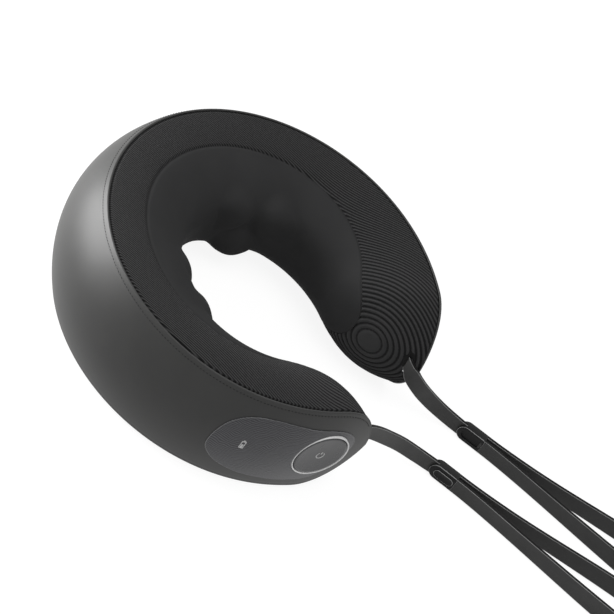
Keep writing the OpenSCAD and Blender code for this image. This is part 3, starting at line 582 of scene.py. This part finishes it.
stretch, tree, shader = new_material("stretch_knit", Sheen_Weight=0.0, Sheen_Roughness=0.5,
                                     Specular_IOR_Level=0.05, Roughness=0.85)
yarn = use_group(tree, knit, Stitch=0.45)
fine = use_group(tree, grain, Size=0.8, Blotch=18.0)
mottle_into(tree, shader, fine, "Base Color", (0.029, 0.029, 0.0295), (0.036, 0.036, 0.0365))
bump_into(tree, shader, yarn.outputs["Height"], 0.00005, 0.5)

inner_wall = mesh_object("inner_wall", wall, grid_faces(*wall.shape[:2]), stretch)
clean_up(inner_wall)
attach(inner_wall, "collar")
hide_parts("inner_cover")

# ---- Cloth over the massage nodes -----------------------------------------------------------------------
# The same stretch cloth where a node pushes it out. The bulge travels with its node as the head turns, so
# each one rides on its head, with a skirt that reaches back through the wall.

bare = BVHTree.FromPolygons([Vector(p) for p in wall.reshape(-1, 3)], grid_faces(*wall.shape[:2]))
BULGE_R = 17.5


def node_bulge(side, angle, number):
    point, out, along, up = head_axes(side)
    bearing = math.radians(angle)
    centre = point + (along * math.cos(bearing) + up * math.sin(bearing)) * NODE_ORBIT * MM
    radii = np.linspace(0, BULGE_R, 30)[1:]
    spokes = np.radians(np.arange(0, 360, 5))
    ring = []
    for r in radii:
        for s in spokes:
            spot = centre + (along * math.cos(s) + up * math.sin(s)) * r * MM
            hit = bare.ray_cast(Vector(spot + out * 0.06), Vector(-out), 0.2)[0]
            ring.append(np.array(hit) if hit else spot)
    ring = np.array(ring).reshape(len(radii), len(spokes), 3)
    top = np.array(bare.ray_cast(Vector(centre + out * 0.06), Vector(-out), 0.2)[0])
    r = radii[:, None] + 0 * spokes[None, :]
    share = np.exp(-(r / 12.6) ** 2.6) * (1 - smooth_step(r, 11, BULGE_R))
    ring = raised(ring, side, share)
    ring[-1] = ring[-1] - out * 0.00015
    top = raised(top[None, :], side, np.array([1.0]))
    low = np.maximum((ring[-1] - point) @ out + 0.0125, 0.0015)
    skirt = [ring[-1] - out * (low * part)[:, None] - (ring[-1] - centre) * (0.07 * part)
             for part in (0.3, 0.65, 1)]
    points = np.concatenate([top, ring.reshape(-1, 3), np.concatenate(skirt)])
    k = len(spokes)
    faces = [(0, 1 + j, 1 + (j + 1) % k) for j in range(k)]
    faces += grid_faces(len(radii) + 3, k, close_cols=True, start=1)
    last = 1 + k * (len(radii) + 2)
    faces.append(tuple(range(last, last + k)))
    made = mesh_object("node_bulge_%s_%d" % ("left" if side < 0 else "right", number), points, faces, stretch)
    clean_up(made)
    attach(made, "head_left" if side < 0 else "head_right")


for side in (-1, 1):
    for number, angle in enumerate(NODE_ANGLES):
        node_bulge(side, angle, number + 1)

# ---- Stitches of the leather ----------------------------------------------------------------------------
# A row of dark lock stitches holds the turned-in edge, just below the upper rim. Every stitch is a short
# round thread that dips into the leather at both ends.

thread = grained("black_thread", 0.008, 0.02, 0.2, 300.0, depth=0.00003, Roughness=0.7,
                 Specular_IOR_Level=0.2)


STITCH_PITCH = 0.0023
THREAD_SIDES = 6
THREAD_RINGS = ((-0.75, -0.28, 0.1), (-0.45, -0.02, 0.2), (0, 0.05, 0.22), (0.45, -0.02, 0.2),
                (0.75, -0.28, 0.1))  # place along the thread, lift out of the leather and radius


def rim_run():
    """Even steps along the upper seam: points, the way ahead and the leather's outward side."""
    t = np.linspace(-133, 133, 6000)
    h, b = section_h(np.abs(t) / SWEEP), section_belly(np.abs(t) / SWEEP)
    z = h - ROLL - SEAM_DROP
    n = b * (1 - (z / h) ** 2)
    line = place(t, n, z)
    gap = np.concatenate([[0], np.cumsum(np.linalg.norm(np.diff(line, axis=0), axis=1))])
    spots = np.arange(0.001, gap[-1], STITCH_PITCH)
    out3 = np.concatenate([rim_curve(t)[1], 0 * t[:, None]], 1)
    out3[:, 2] = 2 * b * np.abs(z) / h ** 2
    out3 /= np.linalg.norm(out3, axis=1, keepdims=True)
    ahead = np.gradient(line, axis=0)
    ahead /= np.linalg.norm(ahead, axis=1, keepdims=True)
    return [np.stack([np.interp(spots, gap, v[:, k]) for k in range(3)], -1) for v in (line, ahead, out3)]


points, faces = [], []
for spot, ahead, out3 in zip(*rim_run()):
    up3 = np.cross(ahead, out3)
    start = len(points)
    for s, lift, r in THREAD_RINGS:
        for k in range(THREAD_SIDES):
            c, d = math.cos(k * math.pi / 3) * r, math.sin(k * math.pi / 3) * r
            points.append(spot + (ahead * s + out3 * (lift + c) + up3 * d) * MM)
    last = len(points) - 1
    faces += grid_faces(len(THREAD_RINGS), THREAD_SIDES, close_cols=True, start=start)
    faces += [tuple(range(start, start + THREAD_SIDES)), tuple(range(last, last - THREAD_SIDES, -1))]
rim_stitches = mesh_object("rim_stitches", points, faces, thread)
clean_up(rim_stitches, 1e-9)
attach(rim_stitches, "collar")

# ---- Control panel --------------------------------------------------------------------------------------
# A smoked plastic lens, bean-shaped, laid into the leather of the -X arm. Its face is moulded with fine wavy
# lines and it has a round hole for the power button. Only a small battery sign is printed on it.

belly_t = np.linspace(60, 141, 1600)
belly_line = place(belly_t, section_belly(belly_t / SWEEP), 0 * belly_t)
belly_s = np.concatenate([[0], np.cumsum(np.linalg.norm(np.diff(belly_line, axis=0), axis=1))]) / MM
button_s = np.interp(BUTTON_ANGLE, belly_t, belly_s)


def on_panel(s, z, rise):
    """World point on the -X arm: s along the arm from the button, z up, rise out of the leather, in mm."""
    t = np.interp(s + button_s, belly_s, belly_t)
    a = t / SWEEP
    n = section_belly(a) * (1 - (z / section_h(a)) ** 2)
    p = place(t, n, z)
    lean = 2 * section_belly(a) * z / section_h(a) ** 2
    out3 = np.concatenate([rim_curve(t)[1], lean[..., None]], -1)
    out3 /= np.linalg.norm(out3, axis=-1, keepdims=True)
    p = p + out3 * (np.asarray(rise) * MM)[..., None]
    return p * np.array([-1, 1, 1])


def curve_piece(a, b, c, d, count):
    """Points from b towards c on the smooth curve that runs through a, b, c and d."""
    u = np.linspace(0, 1, count, endpoint=False)[:, None]
    return 0.5 * (2 * b + (c - a) * u + (2 * a - 5 * b + 4 * c - d) * u ** 2
                  + (3 * b - a - 3 * c + d) * u ** 3)


def closed_curve(knots, count):
    k = np.array(knots, float)
    return np.concatenate([curve_piece(*(k[(i + j) % len(k)] for j in (-1, 0, 1, 2)), count)
                           for i in range(len(k))])


# The outline's knots: angle round the collar and height from the middle plane
knots = [(77.3, -6), (77.6, 6), (79.6, 16.5), (84, 23.6), (91, 25.8), (99, 24.6), (106, 23.2), (113, 22.4),
         (119, 20.5), (125, 16), (129, 9), (130, 0), (128.5, -10), (124.5, -18.5), (117.5, -25.5), (108, -27),
         (98, -26.4), (89, -24.6), (82.2, -19.8), (78.6, -13)]
outline = closed_curve(knots, 24)
outline[:, 0] = np.interp(outline[:, 0], belly_t, belly_s) - button_s
bearing = np.unwrap(np.arctan2(outline[:, 1], outline[:, 0]))
order = np.argsort(bearing)
bearing, radius = bearing[order], np.hypot(outline[:, 0], outline[:, 1])[order]
spokes = np.linspace(bearing[0], bearing[0] + 2 * math.pi, 240, endpoint=False)
edge_r = np.interp(spokes, np.concatenate([bearing, [bearing[0] + 2 * math.pi]]),
                   np.concatenate([radius, [radius[0]]]))
HOLE_R = 18.55
HOLE_BEVEL, EDGE_BEVEL = 0.25, 0.45
FACE_RISE = 0.62                    # how far the lens stands out of the leather
rings = [("hole", 0, -0.9), ("hole", 0, 0.35), ("hole", HOLE_BEVEL, 0.6)]
rings += [("face", share, FACE_RISE) for share in np.linspace(0.02, 0.98, 30)]
bevel_ring = len(rings)             # the faces from this ring to the next are the bevel, painted pale as a highlight
rings += [("edge", -EDGE_BEVEL, FACE_RISE), ("edge", -0.15, 0.5), ("edge", 0, 0.25), ("edge", 0, -0.3)]
points = []
for kind, value, rise in rings:
    if kind == "hole":
        r = HOLE_R + value + 0 * edge_r
    elif kind == "face":
        r = HOLE_R + HOLE_BEVEL + (edge_r - EDGE_BEVEL - HOLE_R - HOLE_BEVEL) * value
    else:
        r = edge_r + value
    points.append(on_panel(r * np.cos(spokes), r * np.sin(spokes), rise + 0 * r))
points = np.array(points)

smoked, tree, shader = new_material("smoked_panel", Roughness=0.36, IOR=1.5, Specular_IOR_Level=0.35)
where = add_node(tree, "TexCoord")
axis = add_node(tree, "Mapping", {"Vector": where.outputs["Object"], "Rotation": (0, 0, 0.68)})
swirl = add_node(tree, "TexNoise", {"Vector": axis.outputs[0], "Scale": 38.0, "Detail": 2.0})
bent = add_node(tree, "VectorMath", {0: swirl.outputs["Color"], 1: (0.012, 0.012, 0.012)},
                operation="MULTIPLY")
moved = add_node(tree, "VectorMath", {0: axis.outputs[0], 1: bent.outputs[0]}, operation="ADD")
lines = add_node(tree, "TexWave", {"Vector": moved.outputs[0], "Scale": 260.0, "Distortion": 3.0,
                                   "Detail": 2.0, "Detail Scale": 1.5}, bands_direction="Z")
tree.links.new(ramp(tree, lines.outputs["Fac"], [(0.2, (0.016, 0.016, 0.019)), (0.8, (0.062, 0.062, 0.068))]),
               shader.inputs["Base Color"])
bump_into(tree, shader, lines.outputs["Fac"], 0.00006, 0.8)

# Painted highlight: a pale material on the lens's bevel stands in for the bright line of light along its
# edge.
lens_edge_painted_highlight = grained("lens_edge_painted_highlight", 0.10, 0.15, 0.3, 60.0, Roughness=0.25, IOR=1.5)

lens_cover = mesh_object("lens_cover", points, grid_faces(*points.shape[:2], close_cols=True), smoked)
lens_cover.data.materials.append(lens_edge_painted_highlight)
for face in lens_cover.data.polygons:
    if face.index // points.shape[1] == bevel_ring:
        face.material_index = 1
clean_up(lens_cover)
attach(lens_cover, "collar")
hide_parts("panel_lens")

# ---- Signs on the panel ---------------------------------------------------------------------------------
# The battery sign is printed in a thin pale ink. It is a small upright cell with its cap.

ink = grained("pale_ink", 0.42, 0.56, 0.3, 500.0, Roughness=0.5)


INK_T = 0.05


def flat_sign(name, loops, rise, material):
    """A thin printed shape on the panel. Each loop is an outer and an inner outline of as many points."""
    points, faces = [], []
    for outer, inner in loops:
        k = len(outer)
        start = len(points)
        for line, level in ((outer, rise - 0.1), (outer, rise + INK_T), (inner, rise + INK_T),
                            (inner, rise - 0.1)):
            line = np.array(line, float)
            points += list(on_panel(line[:, 0], line[:, 1], level + 0 * line[:, 0]))
        faces += grid_faces(4, k, close_rows=True, close_cols=True, start=start)
    made = mesh_object(name, points, faces, material, smooth=False)
    clean_up(made, 1e-9)
    return made


def box_loop(w, h, line, centre):
    x, y = centre
    corners = ((-1, -1), (1, -1), (1, 1), (-1, 1))
    outer = [(x + s * w / 2, y + t * h / 2) for s, t in corners]
    inner = [(x + s * (w / 2 - line), y + t * (h / 2 - line)) for s, t in corners]
    return outer, inner


sign_s = float(np.interp(85.5, belly_t, belly_s) - button_s)
cell = [box_loop(2.9, 5.8, 0.5, (sign_s, 2.0)), box_loop(1.3, 0.8, 0.35, (sign_s, 5.4)),
        box_loop(1.3, 2.8, 0.6, (sign_s, 1.0))]
battery_sign = flat_sign("battery_sign", cell, FACE_RISE, ink)
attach(battery_sign, "collar")

# ---- Power button and its light ring --------------------------------------------------------------------
# A dished gloss cap that is pressed in, ringed by a white light guide with a faint painted glow. The power
# sign is set in its middle.

button_side = np.cross(np.array([0, 0, 1.0]), button_out)


TURN_STEPS = 96


def turned_piece(name, profile, material):
    """A ring or cap turned about the button's axis; the profile is radius and height in millimetres."""
    points = []
    for r, z in profile:
        for k in range(TURN_STEPS):
            c, s = math.cos(2 * math.pi * k / TURN_STEPS), math.sin(2 * math.pi * k / TURN_STEPS)
            points.append(button_spot + (button_side * c * r + np.array([0, 0, s * r]) + button_out * z) * MM)
    faces = grid_faces(len(profile), TURN_STEPS, close_rows=True, close_cols=True)
    made = mesh_object(name, points, faces, material)
    clean_up(made)
    return made


def dish(r):
    """Height of the button's dished face, r millimetres from its middle."""
    return 0.65 - 0.5 * (1 - (r / 16) ** 2)


gloss = grained("gloss_cap", (0.022, 0.022, 0.025), (0.028, 0.028, 0.031), 0.3, 60.0, (0.24, 0.30), IOR=1.5)
face = [(r, dish(r)) for r in np.linspace(0.01, 15.8, 26)[::-1]]
brim = [(0.01, -3.4), (16.9, -3.4), (16.95, 0.15), (16.75, 0.45), (16.3, 0.62)]
button_cap = turned_piece("button_cap", brim + face, gloss)
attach(button_cap, "power_button")
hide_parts("power_button")

# Painted glow: a faint emission brightens the white ring.
guide, tree, shader = new_material("light_guide_painted_glow", Roughness=0.3, Emission_Strength=0.05)
fine = use_group(tree, grain, Size=0.3, Blotch=80.0)
mottle_into(tree, shader, fine, "Base Color", 0.60, 0.70)
mottle_into(tree, shader, fine, "Emission Color", 0.8, 0.9)
light_ring = turned_piece("light_ring", [(17.55, -4.5), (18.4, -4.5), (18.45, 0.35), (18.3, 0.6), (18.0, 0.7),
                                         (17.7, 0.6), (17.55, 0.35)], guide)
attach(light_ring, "collar")
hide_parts("power_ring")

sign_turns = np.linspace(math.radians(90 + 38), math.radians(90 + 322), 40)
points, faces = [], []


def sign_band(centres, widths):
    start = len(points)
    for (c, s), (dx, dz) in zip(centres, widths):
        for q in (-1, 1):
            for level in (0.12, -0.25):
                x, z = c + q * dx, s + q * dz
                rise = dish(math.hypot(x, z)) + level
                points.append(button_spot + (button_side * x + np.array([0, 0, z]) + button_out * rise) * MM)
    for i in range(len(centres) - 1):
        a, b = start + 4 * i, start + 4 * i + 4
        faces.extend([(a, a + 2, b + 2, b), (a + 1, b + 1, b + 3, a + 3), (a, b, b + 1, a + 1),
                      (a + 2, a + 3, b + 3, b + 2)])
    faces.extend([(start, start + 1, start + 3, start + 2), (b, b + 2, b + 3, b + 1)])


sign_band([(2.6 * math.cos(k), 2.6 * math.sin(k)) for k in sign_turns],
          [(0.3 * math.cos(k), 0.3 * math.sin(k)) for k in sign_turns])
sign_band([(0, 0.9), (0, 2.0), (0, 3.2)], [(0.3, 0)] * 3)
power_sign = mesh_object("power_sign", points, faces, ink, smooth=False)
clean_up(power_sign, 1e-9)
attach(power_sign, "power_button")

# ---- Hand straps ----------------------------------------------------------------------------------------
# Flat coated bands that stand on their edges: grey faces with a fine moulded texture, edges that are sealed
# with black paint and a pale painted highlight along each corner. Each lead comes out of a slot in the tip
# and ends in its keeper.

STRAP_W, STRAP_T, LOOP_WIDER = 10.7, 2.2, 3.6
strap_z = STRAP_W / 2 + 0.3
keepers = {"left": (18.8, -94, 1.1), "right": (63.9, -94, 1.7)}     # x, y and turn in degrees
routes = {"left": [(-43.2, -39.6, 40.2), (-41.5, -42.1, 40.2), (-38.8, -45.2, 39.8), (-34.6, -48, 38.8),
                   (-24.3, -54, 33.8), (-11.8, -61.8, 26), (0.9, -71.2, 17.8), (11.6, -83, 10.2),
                   (17.2, -92.5, 6.4), (18.8, -98.5, strap_z)],
          "right": [(43.2, -39.6, 40.2), (41.5, -42.1, 40.2), (40, -45.2, 38.9), (39.6, -49, 35.6),
                    (40.8, -53, 31.4), (45.2, -60.2, 24.8), (51.2, -67.6, 18), (57.6, -77.4, 11.4),
                    (62.4, -89.5, 6.8), (63.9, -98.5, strap_z)]}


def open_curve(knots, count):
    k = np.array(knots, float)
    k = np.concatenate([k[:1], k, k[-1:]])
    pieces = [curve_piece(*k[i - 1:i + 3], count) for i in range(1, len(k) - 2)]
    return np.concatenate(pieces + [k[-1:]])


edge_paint = grained("edge_paint", 0.004, 0.008, 0.4, 120.0, depth=0.00003, Roughness=0.45, IOR=1.45,
                     Specular_IOR_Level=0.12)
# Painted highlight: a pale material on the corner ribs of the straps and on the rims of the keepers.
edge_rib_painted_highlight = grained("edge_rib_painted_highlight", 0.16, 0.24, 0.4, 90.0, Roughness=0.3, IOR=1.5)
strap_face = grained("strap_face", (0.031, 0.031, 0.0306), (0.040, 0.040, 0.0394), 0.5, 70.0, depth=0.00004,
                     Roughness=0.55, IOR=1.45, Specular_IOR_Level=0.3)


def strap_band(name, path, widths):
    """A band swept along a path: each corner a fine rib with a painted highlight, black edge paint between.
    """
    path = np.array(path, float)
    ahead = np.gradient(path, axis=0)
    ahead /= np.linalg.norm(ahead, axis=1, keepdims=True)
    side = np.cross(ahead, [0, 0, 1.0])
    side /= np.linalg.norm(side, axis=1, keepdims=True)
    up = np.cross(side, ahead)
    half, t = np.array(widths, float)[:, None] / 2, STRAP_T / 2
    shape = [(t, 1.0), (t + 0.05, 0.75), (t + 0.05, 0.35), (t - 0.1, 0.05), (t - 0.35, 0.1), (t - 0.5, 0.25)]
    shape += [(-x, inset) for x, inset in shape[::-1]]
    shape = [(x, 1, inset) for x, inset in shape] + [(-x, -1, inset) for x, inset in shape]
    rings = np.stack([path + side * x + up * (half - inset) * sign for x, sign, inset in shape], 1) * MM
    k = len(shape)
    faces = grid_faces(len(path), k, close_cols=True)
    faces += [tuple(range(k)), tuple(len(path) * k - 1 - j for j in range(k))]
    made = mesh_object(name, rings, faces, strap_face)
    for extra in (edge_paint, edge_rib_painted_highlight):
        made.data.materials.append(extra)
    # Kind 2 faces are the corner ribs with their painted highlight, kind 1 the black edge paint.
    kinds = [0, 0, 2, 1, 1, 1, 1, 1, 2, 0, 0, 0] * 2
    marks = [kinds[index % k] for index in range((len(path) - 1) * k)] + [0, 0]
    made.data.polygons.foreach_set("material_index", marks)
    clean_up(made)
    return made


def at_keeper(side, x, y, z):
    kx, ky, angle = keepers[side]
    c, s = math.cos(math.radians(angle)), math.sin(math.radians(angle))
    return np.stack([kx + x * c - y * s, ky + x * s + y * c, z], -1)


for side in ("left", "right"):
    route = open_curve(routes[side], 12)
    run = np.concatenate([[0], np.cumsum(np.linalg.norm(np.diff(route, axis=0), axis=1))])
    drawn_in = 1 - smooth_step(run, 6, 15)                  # the slot gathers the band
    route[:, 2] -= 0.9 * drawn_in
    lead = strap_band("lead_" + side, route, STRAP_W - 2.6 * drawn_in)
    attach(lead, "strap_" + side)
    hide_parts("strap_lead_" + side)
    a = np.linspace(0, 360, 181)
    c, w = np.sin(np.radians(a)), np.sin(np.radians(a / 2))
    x = 21 * np.sign(c) * np.abs(c) ** 0.75 * w ** 2.4 + (STRAP_T + 0.05) * np.cos(np.radians(a / 2))
    y = -20 - 185 * (1 - np.cos(np.radians(a))) / 2
    swell = np.radians(np.clip((np.minimum(a, 360 - a) - 50) * 1.125, 0, 90))
    wide = STRAP_W + LOOP_WIDER * np.sin(swell) ** 2
    x, y, wide = (np.concatenate([start, v, end]) for start, v, end in
                  (([x[0]], x, [x[-1]]), ([-16.5], y, [-16.5]), ([STRAP_W], wide, [STRAP_W])))
    loop = strap_band("loop_" + side, at_keeper(side, x, y, 0.3 + wide / 2), wide)
    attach(loop, "strap_" + side)
    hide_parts("strap_loop_" + side)

# ---- Slots in the tips ----------------------------------------------------------------------------------
# A bound slit in the ribbed knit where each lead comes out: a raised black welt, closed over the mouth by a
# flat black patch of painted shade, with the head of a small steel pin at its lower end.

skin = ribbed_wrap.data
wrap_tree = BVHTree.FromPolygons([v.co for v in skin.vertices], [tuple(f.vertices) for f in skin.polygons])
binding_and_slot_shade, tree, shader = new_material("black_binding_and_slot_shade", Roughness=0.75, Specular_IOR_Level=0.15)
yarn = use_group(tree, knit, Stitch=0.4)
tree.links.new(ramp(tree, yarn.outputs["Fuzz"], [(0.3, 0.003), (0.7, 0.007)]), shader.inputs["Base Color"])
bump_into(tree, shader, yarn.outputs["Height"], 0.00006)
pin_steel = grained("pin_steel", 0.55, 0.68, 0.2, 400.0, Roughness=0.2, Metallic=1.0)


# The inner rings close the welt into a flat black patch over the slit: painted shade for its dark mouth.
WELT_RINGS = ((1.0, -0.4), (0.98, 0.35), (0.86, 0.6), (0.72, 0.5), (0.64, 0.25), (0.3, 0.2), (0.01, 0.2))
WELT_STEPS = 48
PIN_RINGS = ((1.15, -0.6), (1.2, 0.0), (1.05, 0.45), (0.7, 0.75), (0.01, 0.85))
PIN_STEPS = 24


def on_tip(spot, ahead, rise):
    """The point of the knit that lies behind spot, seen along the lead, lifted by rise millimetres."""
    hit = wrap_tree.ray_cast(Vector(spot + ahead * 0.03), Vector(-ahead), 0.08)[0]
    return np.array(hit) + ahead * rise * MM if hit else spot


for side in ("left", "right"):
    route = open_curve(routes[side], 12) * MM
    inside = [wrap_tree.find_nearest(Vector(p))[3] for p in route[:60]]
    at = int(np.argmin(inside))
    ahead = route[at + 1] - route[at - 1]
    ahead /= np.linalg.norm(ahead)
    level = np.cross(ahead, [0, 0, 1.0])
    level /= np.linalg.norm(level)
    rise = np.cross(level, ahead)
    points = []
    for size, lift in WELT_RINGS:
        for k in range(WELT_STEPS):
            c, w = math.cos(k * math.pi / 24), math.sin(k * math.pi / 24)
            spot = route[at] + (level * (2.9 * size - 0.4) * c + rise * ((6.9 * size - 0.4) * w + 0.2)) * MM
            points.append(on_tip(spot, ahead, lift))
    faces = grid_faces(len(WELT_RINGS), WELT_STEPS, close_cols=True)
    welt = mesh_object("slot_welt_" + side, points, faces, binding_and_slot_shade)
    clean_up(welt)
    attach(welt, "collar")
    foot = on_tip(route[at] - (rise * 6.2 + level * 0.5) * MM, ahead, 0.45)
    points = []
    for r, h in PIN_RINGS:
        for k in range(PIN_STEPS):
            c, w = math.cos(k * math.pi / 12), math.sin(k * math.pi / 12)
            points.append(foot + (level * c * r + rise * w * r + ahead * h) * MM)
    faces = grid_faces(len(PIN_RINGS), PIN_STEPS, close_cols=True)
    pin = mesh_object("slot_pin_" + side, points, faces, pin_steel)
    clean_up(pin)
    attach(pin, "collar")

# ---- Keepers --------------------------------------------------------------------------------------------
# A moulded black slide with rounded ends that clamps the lead to the two runs of the hand loop. The left one
# has a raised boss on its face, the right one a recess.

moulded = grained("moulded_black", (0.006, 0.006, 0.0062), (0.010, 0.010, 0.0103), 0.35, 90.0, (0.26, 0.34),
                  0.00003, IOR=1.48, Specular_IOR_Level=0.15)


def stadium(length, height, inset, rear):
    """Outline from y = 0 backwards, drawn in by inset: round in front, squarer behind for a small rear."""
    r = height / 2 - inset
    a = np.linspace(0, math.pi, 24)
    c, w = np.cos(a), np.sin(a)
    front = np.stack([-(height / 2) + r * w, r * c], -1)
    behind = np.stack([-(length - height / 2) - r * w ** rear, -r * np.sign(c) * np.abs(c) ** rear], -1)
    return np.concatenate([front, behind])


# Rings of a keeper: x, kind of outline and inset, from the middle of the face round the body
for side in ("left", "right"):
    if side == "left":
        rings = [(-4.0, "boss", 1.5), (-4.2, "boss", 0.75), (-4.25, "boss", 0.3), (-4.05, "boss", 0.0),
                 (-3.6, "boss", -0.05)]
    else:
        rings = [(-2.15, "well", 0.6), (-2.25, "well", 0.2), (-3.2, "well", 0.0), (-3.5, "well", -0.2)]
    rings += [(-3.55, "body", 0.9), (-3.45, "body", 0.4), (-3.15, "body", 0.1), (-2.7, "body", 0.0),
              (2.7, "body", 0.0), (3.15, "body", 0.1), (3.45, "body", 0.4), (3.55, "body", 0.9)]
    points = []
    for x, kind, inset in rings:
        length, height, start, rear = {"boss": (14, 5.8, -3.6, 1), "well": (14.4, 6.6, -3.6, 1),
                                       "body": (18.9, 11.0, 0, 0.22)}[kind]
        line = stadium(length, height, inset, rear)
        z = strap_z + 0.05 + line[:, 1]
        points.append(at_keeper(side, x + 0 * line[:, 0], line[:, 0] + start, z) * MM)
    points = np.array(points)
    k = points.shape[1]
    faces = grid_faces(len(points), k, close_cols=True)
    faces += [tuple(range(k)), tuple(len(points) * k - 1 - j for j in range(k))]
    keeper = mesh_object("keeper_" + side, points, faces, moulded)
    keeper.data.materials.append(edge_rib_painted_highlight)
    # Painted highlight: the rims of the boss and of the body get the pale edge material.
    highlight_rings = [n for n, ring in enumerate(rings[:-1]) if ring[:2] in ((-4.25, "boss"), (-3.45, "body"))]
    for face in keeper.data.polygons:
        if face.index // k in highlight_rings:
            face.material_index = 1
    clean_up(keeper)
    keeper.data.set_sharp_from_angle(angle=math.radians(50))
    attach(keeper, "strap_" + side)
    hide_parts("strap_keeper_" + side)

# ---- Parts inside and the charging port -----------------------------------------------------------------
# Foam, the two chassis halves, heating pads, the geared motors, cells and boards are taken from the packed
# model as they are. Each gets the finish of its own plastic, metal or foam.


def plain_finish(name, low, high, rough, size=0.5, depth=0.00004, **constants):
    return grained(name, low, high, size, 60.0, rough, depth, **constants)


finishes = {
    "foam": plain_finish("open_foam", (0.2, 0.2, 0.18), (0.28, 0.28, 0.25), (0.85, 0.95), 0.9, 0.0003),
    "chassis_plastic": plain_finish("chassis_abs", (0.55, 0.55, 0.52), (0.62, 0.62, 0.59), (0.4, 0.5)),
    "heater_film": plain_finish("heater_film", (0.3, 0.11, 0.03), (0.38, 0.15, 0.05), (0.3, 0.4)),
    "zinc_screw": plain_finish("zinc", (0.5, 0.5, 0.5), (0.6, 0.6, 0.6), (0.25, 0.4), Metallic=1.0),
    "cell_wrap": plain_finish("cell_wrap", (0.05, 0.14, 0.36), (0.07, 0.18, 0.42), (0.25, 0.35)),
    "dark_plastic": plain_finish("dark_plastic", (0.018, 0.018, 0.02), (0.026, 0.026, 0.028), (0.4, 0.5)),
    "board": plain_finish("board_lacquer", (0.02, 0.13, 0.05), (0.03, 0.17, 0.07), (0.3, 0.4)),
    "gearbox_plastic": plain_finish("gearbox_acetal", (0.52, 0.52, 0.48), (0.6, 0.6, 0.56), (0.4, 0.5)),
    "bronze": plain_finish("sintered_bronze", (0.4, 0.22, 0.08), (0.5, 0.3, 0.12), (0.35, 0.5), Metallic=1.0),
    "steel": plain_finish("turned_steel", (0.42, 0.42, 0.43), (0.52, 0.52, 0.53), (0.22, 0.32), Metallic=1.0),
    "gear_plastic": plain_finish("gear_acetal", (0.7, 0.67, 0.58), (0.78, 0.75, 0.66), (0.35, 0.45)),
    "node_rubber": plain_finish("node_rubber", (0.02, 0.02, 0.02), (0.035, 0.035, 0.035), (0.7, 0.8)),
    "keeper_plastic": moulded, "strap_grey": strap_face, "grey_leather": leather, "ribbed_knit": ribbed,
    "stretch_knit": stretch, "panel_gloss": smoked, "button_gloss": gloss, "ring_white": guide,
}
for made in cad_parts.values():
    for held in made.material_slots:
        name = held.material.name.split(".")[0] if held.material else ""
        if name in finishes:
            held.material = finishes[name]

# ---- Finish ---------------------------------------------------------------------------------------------
bpy.context.scene.view_settings.view_transform = "Standard"
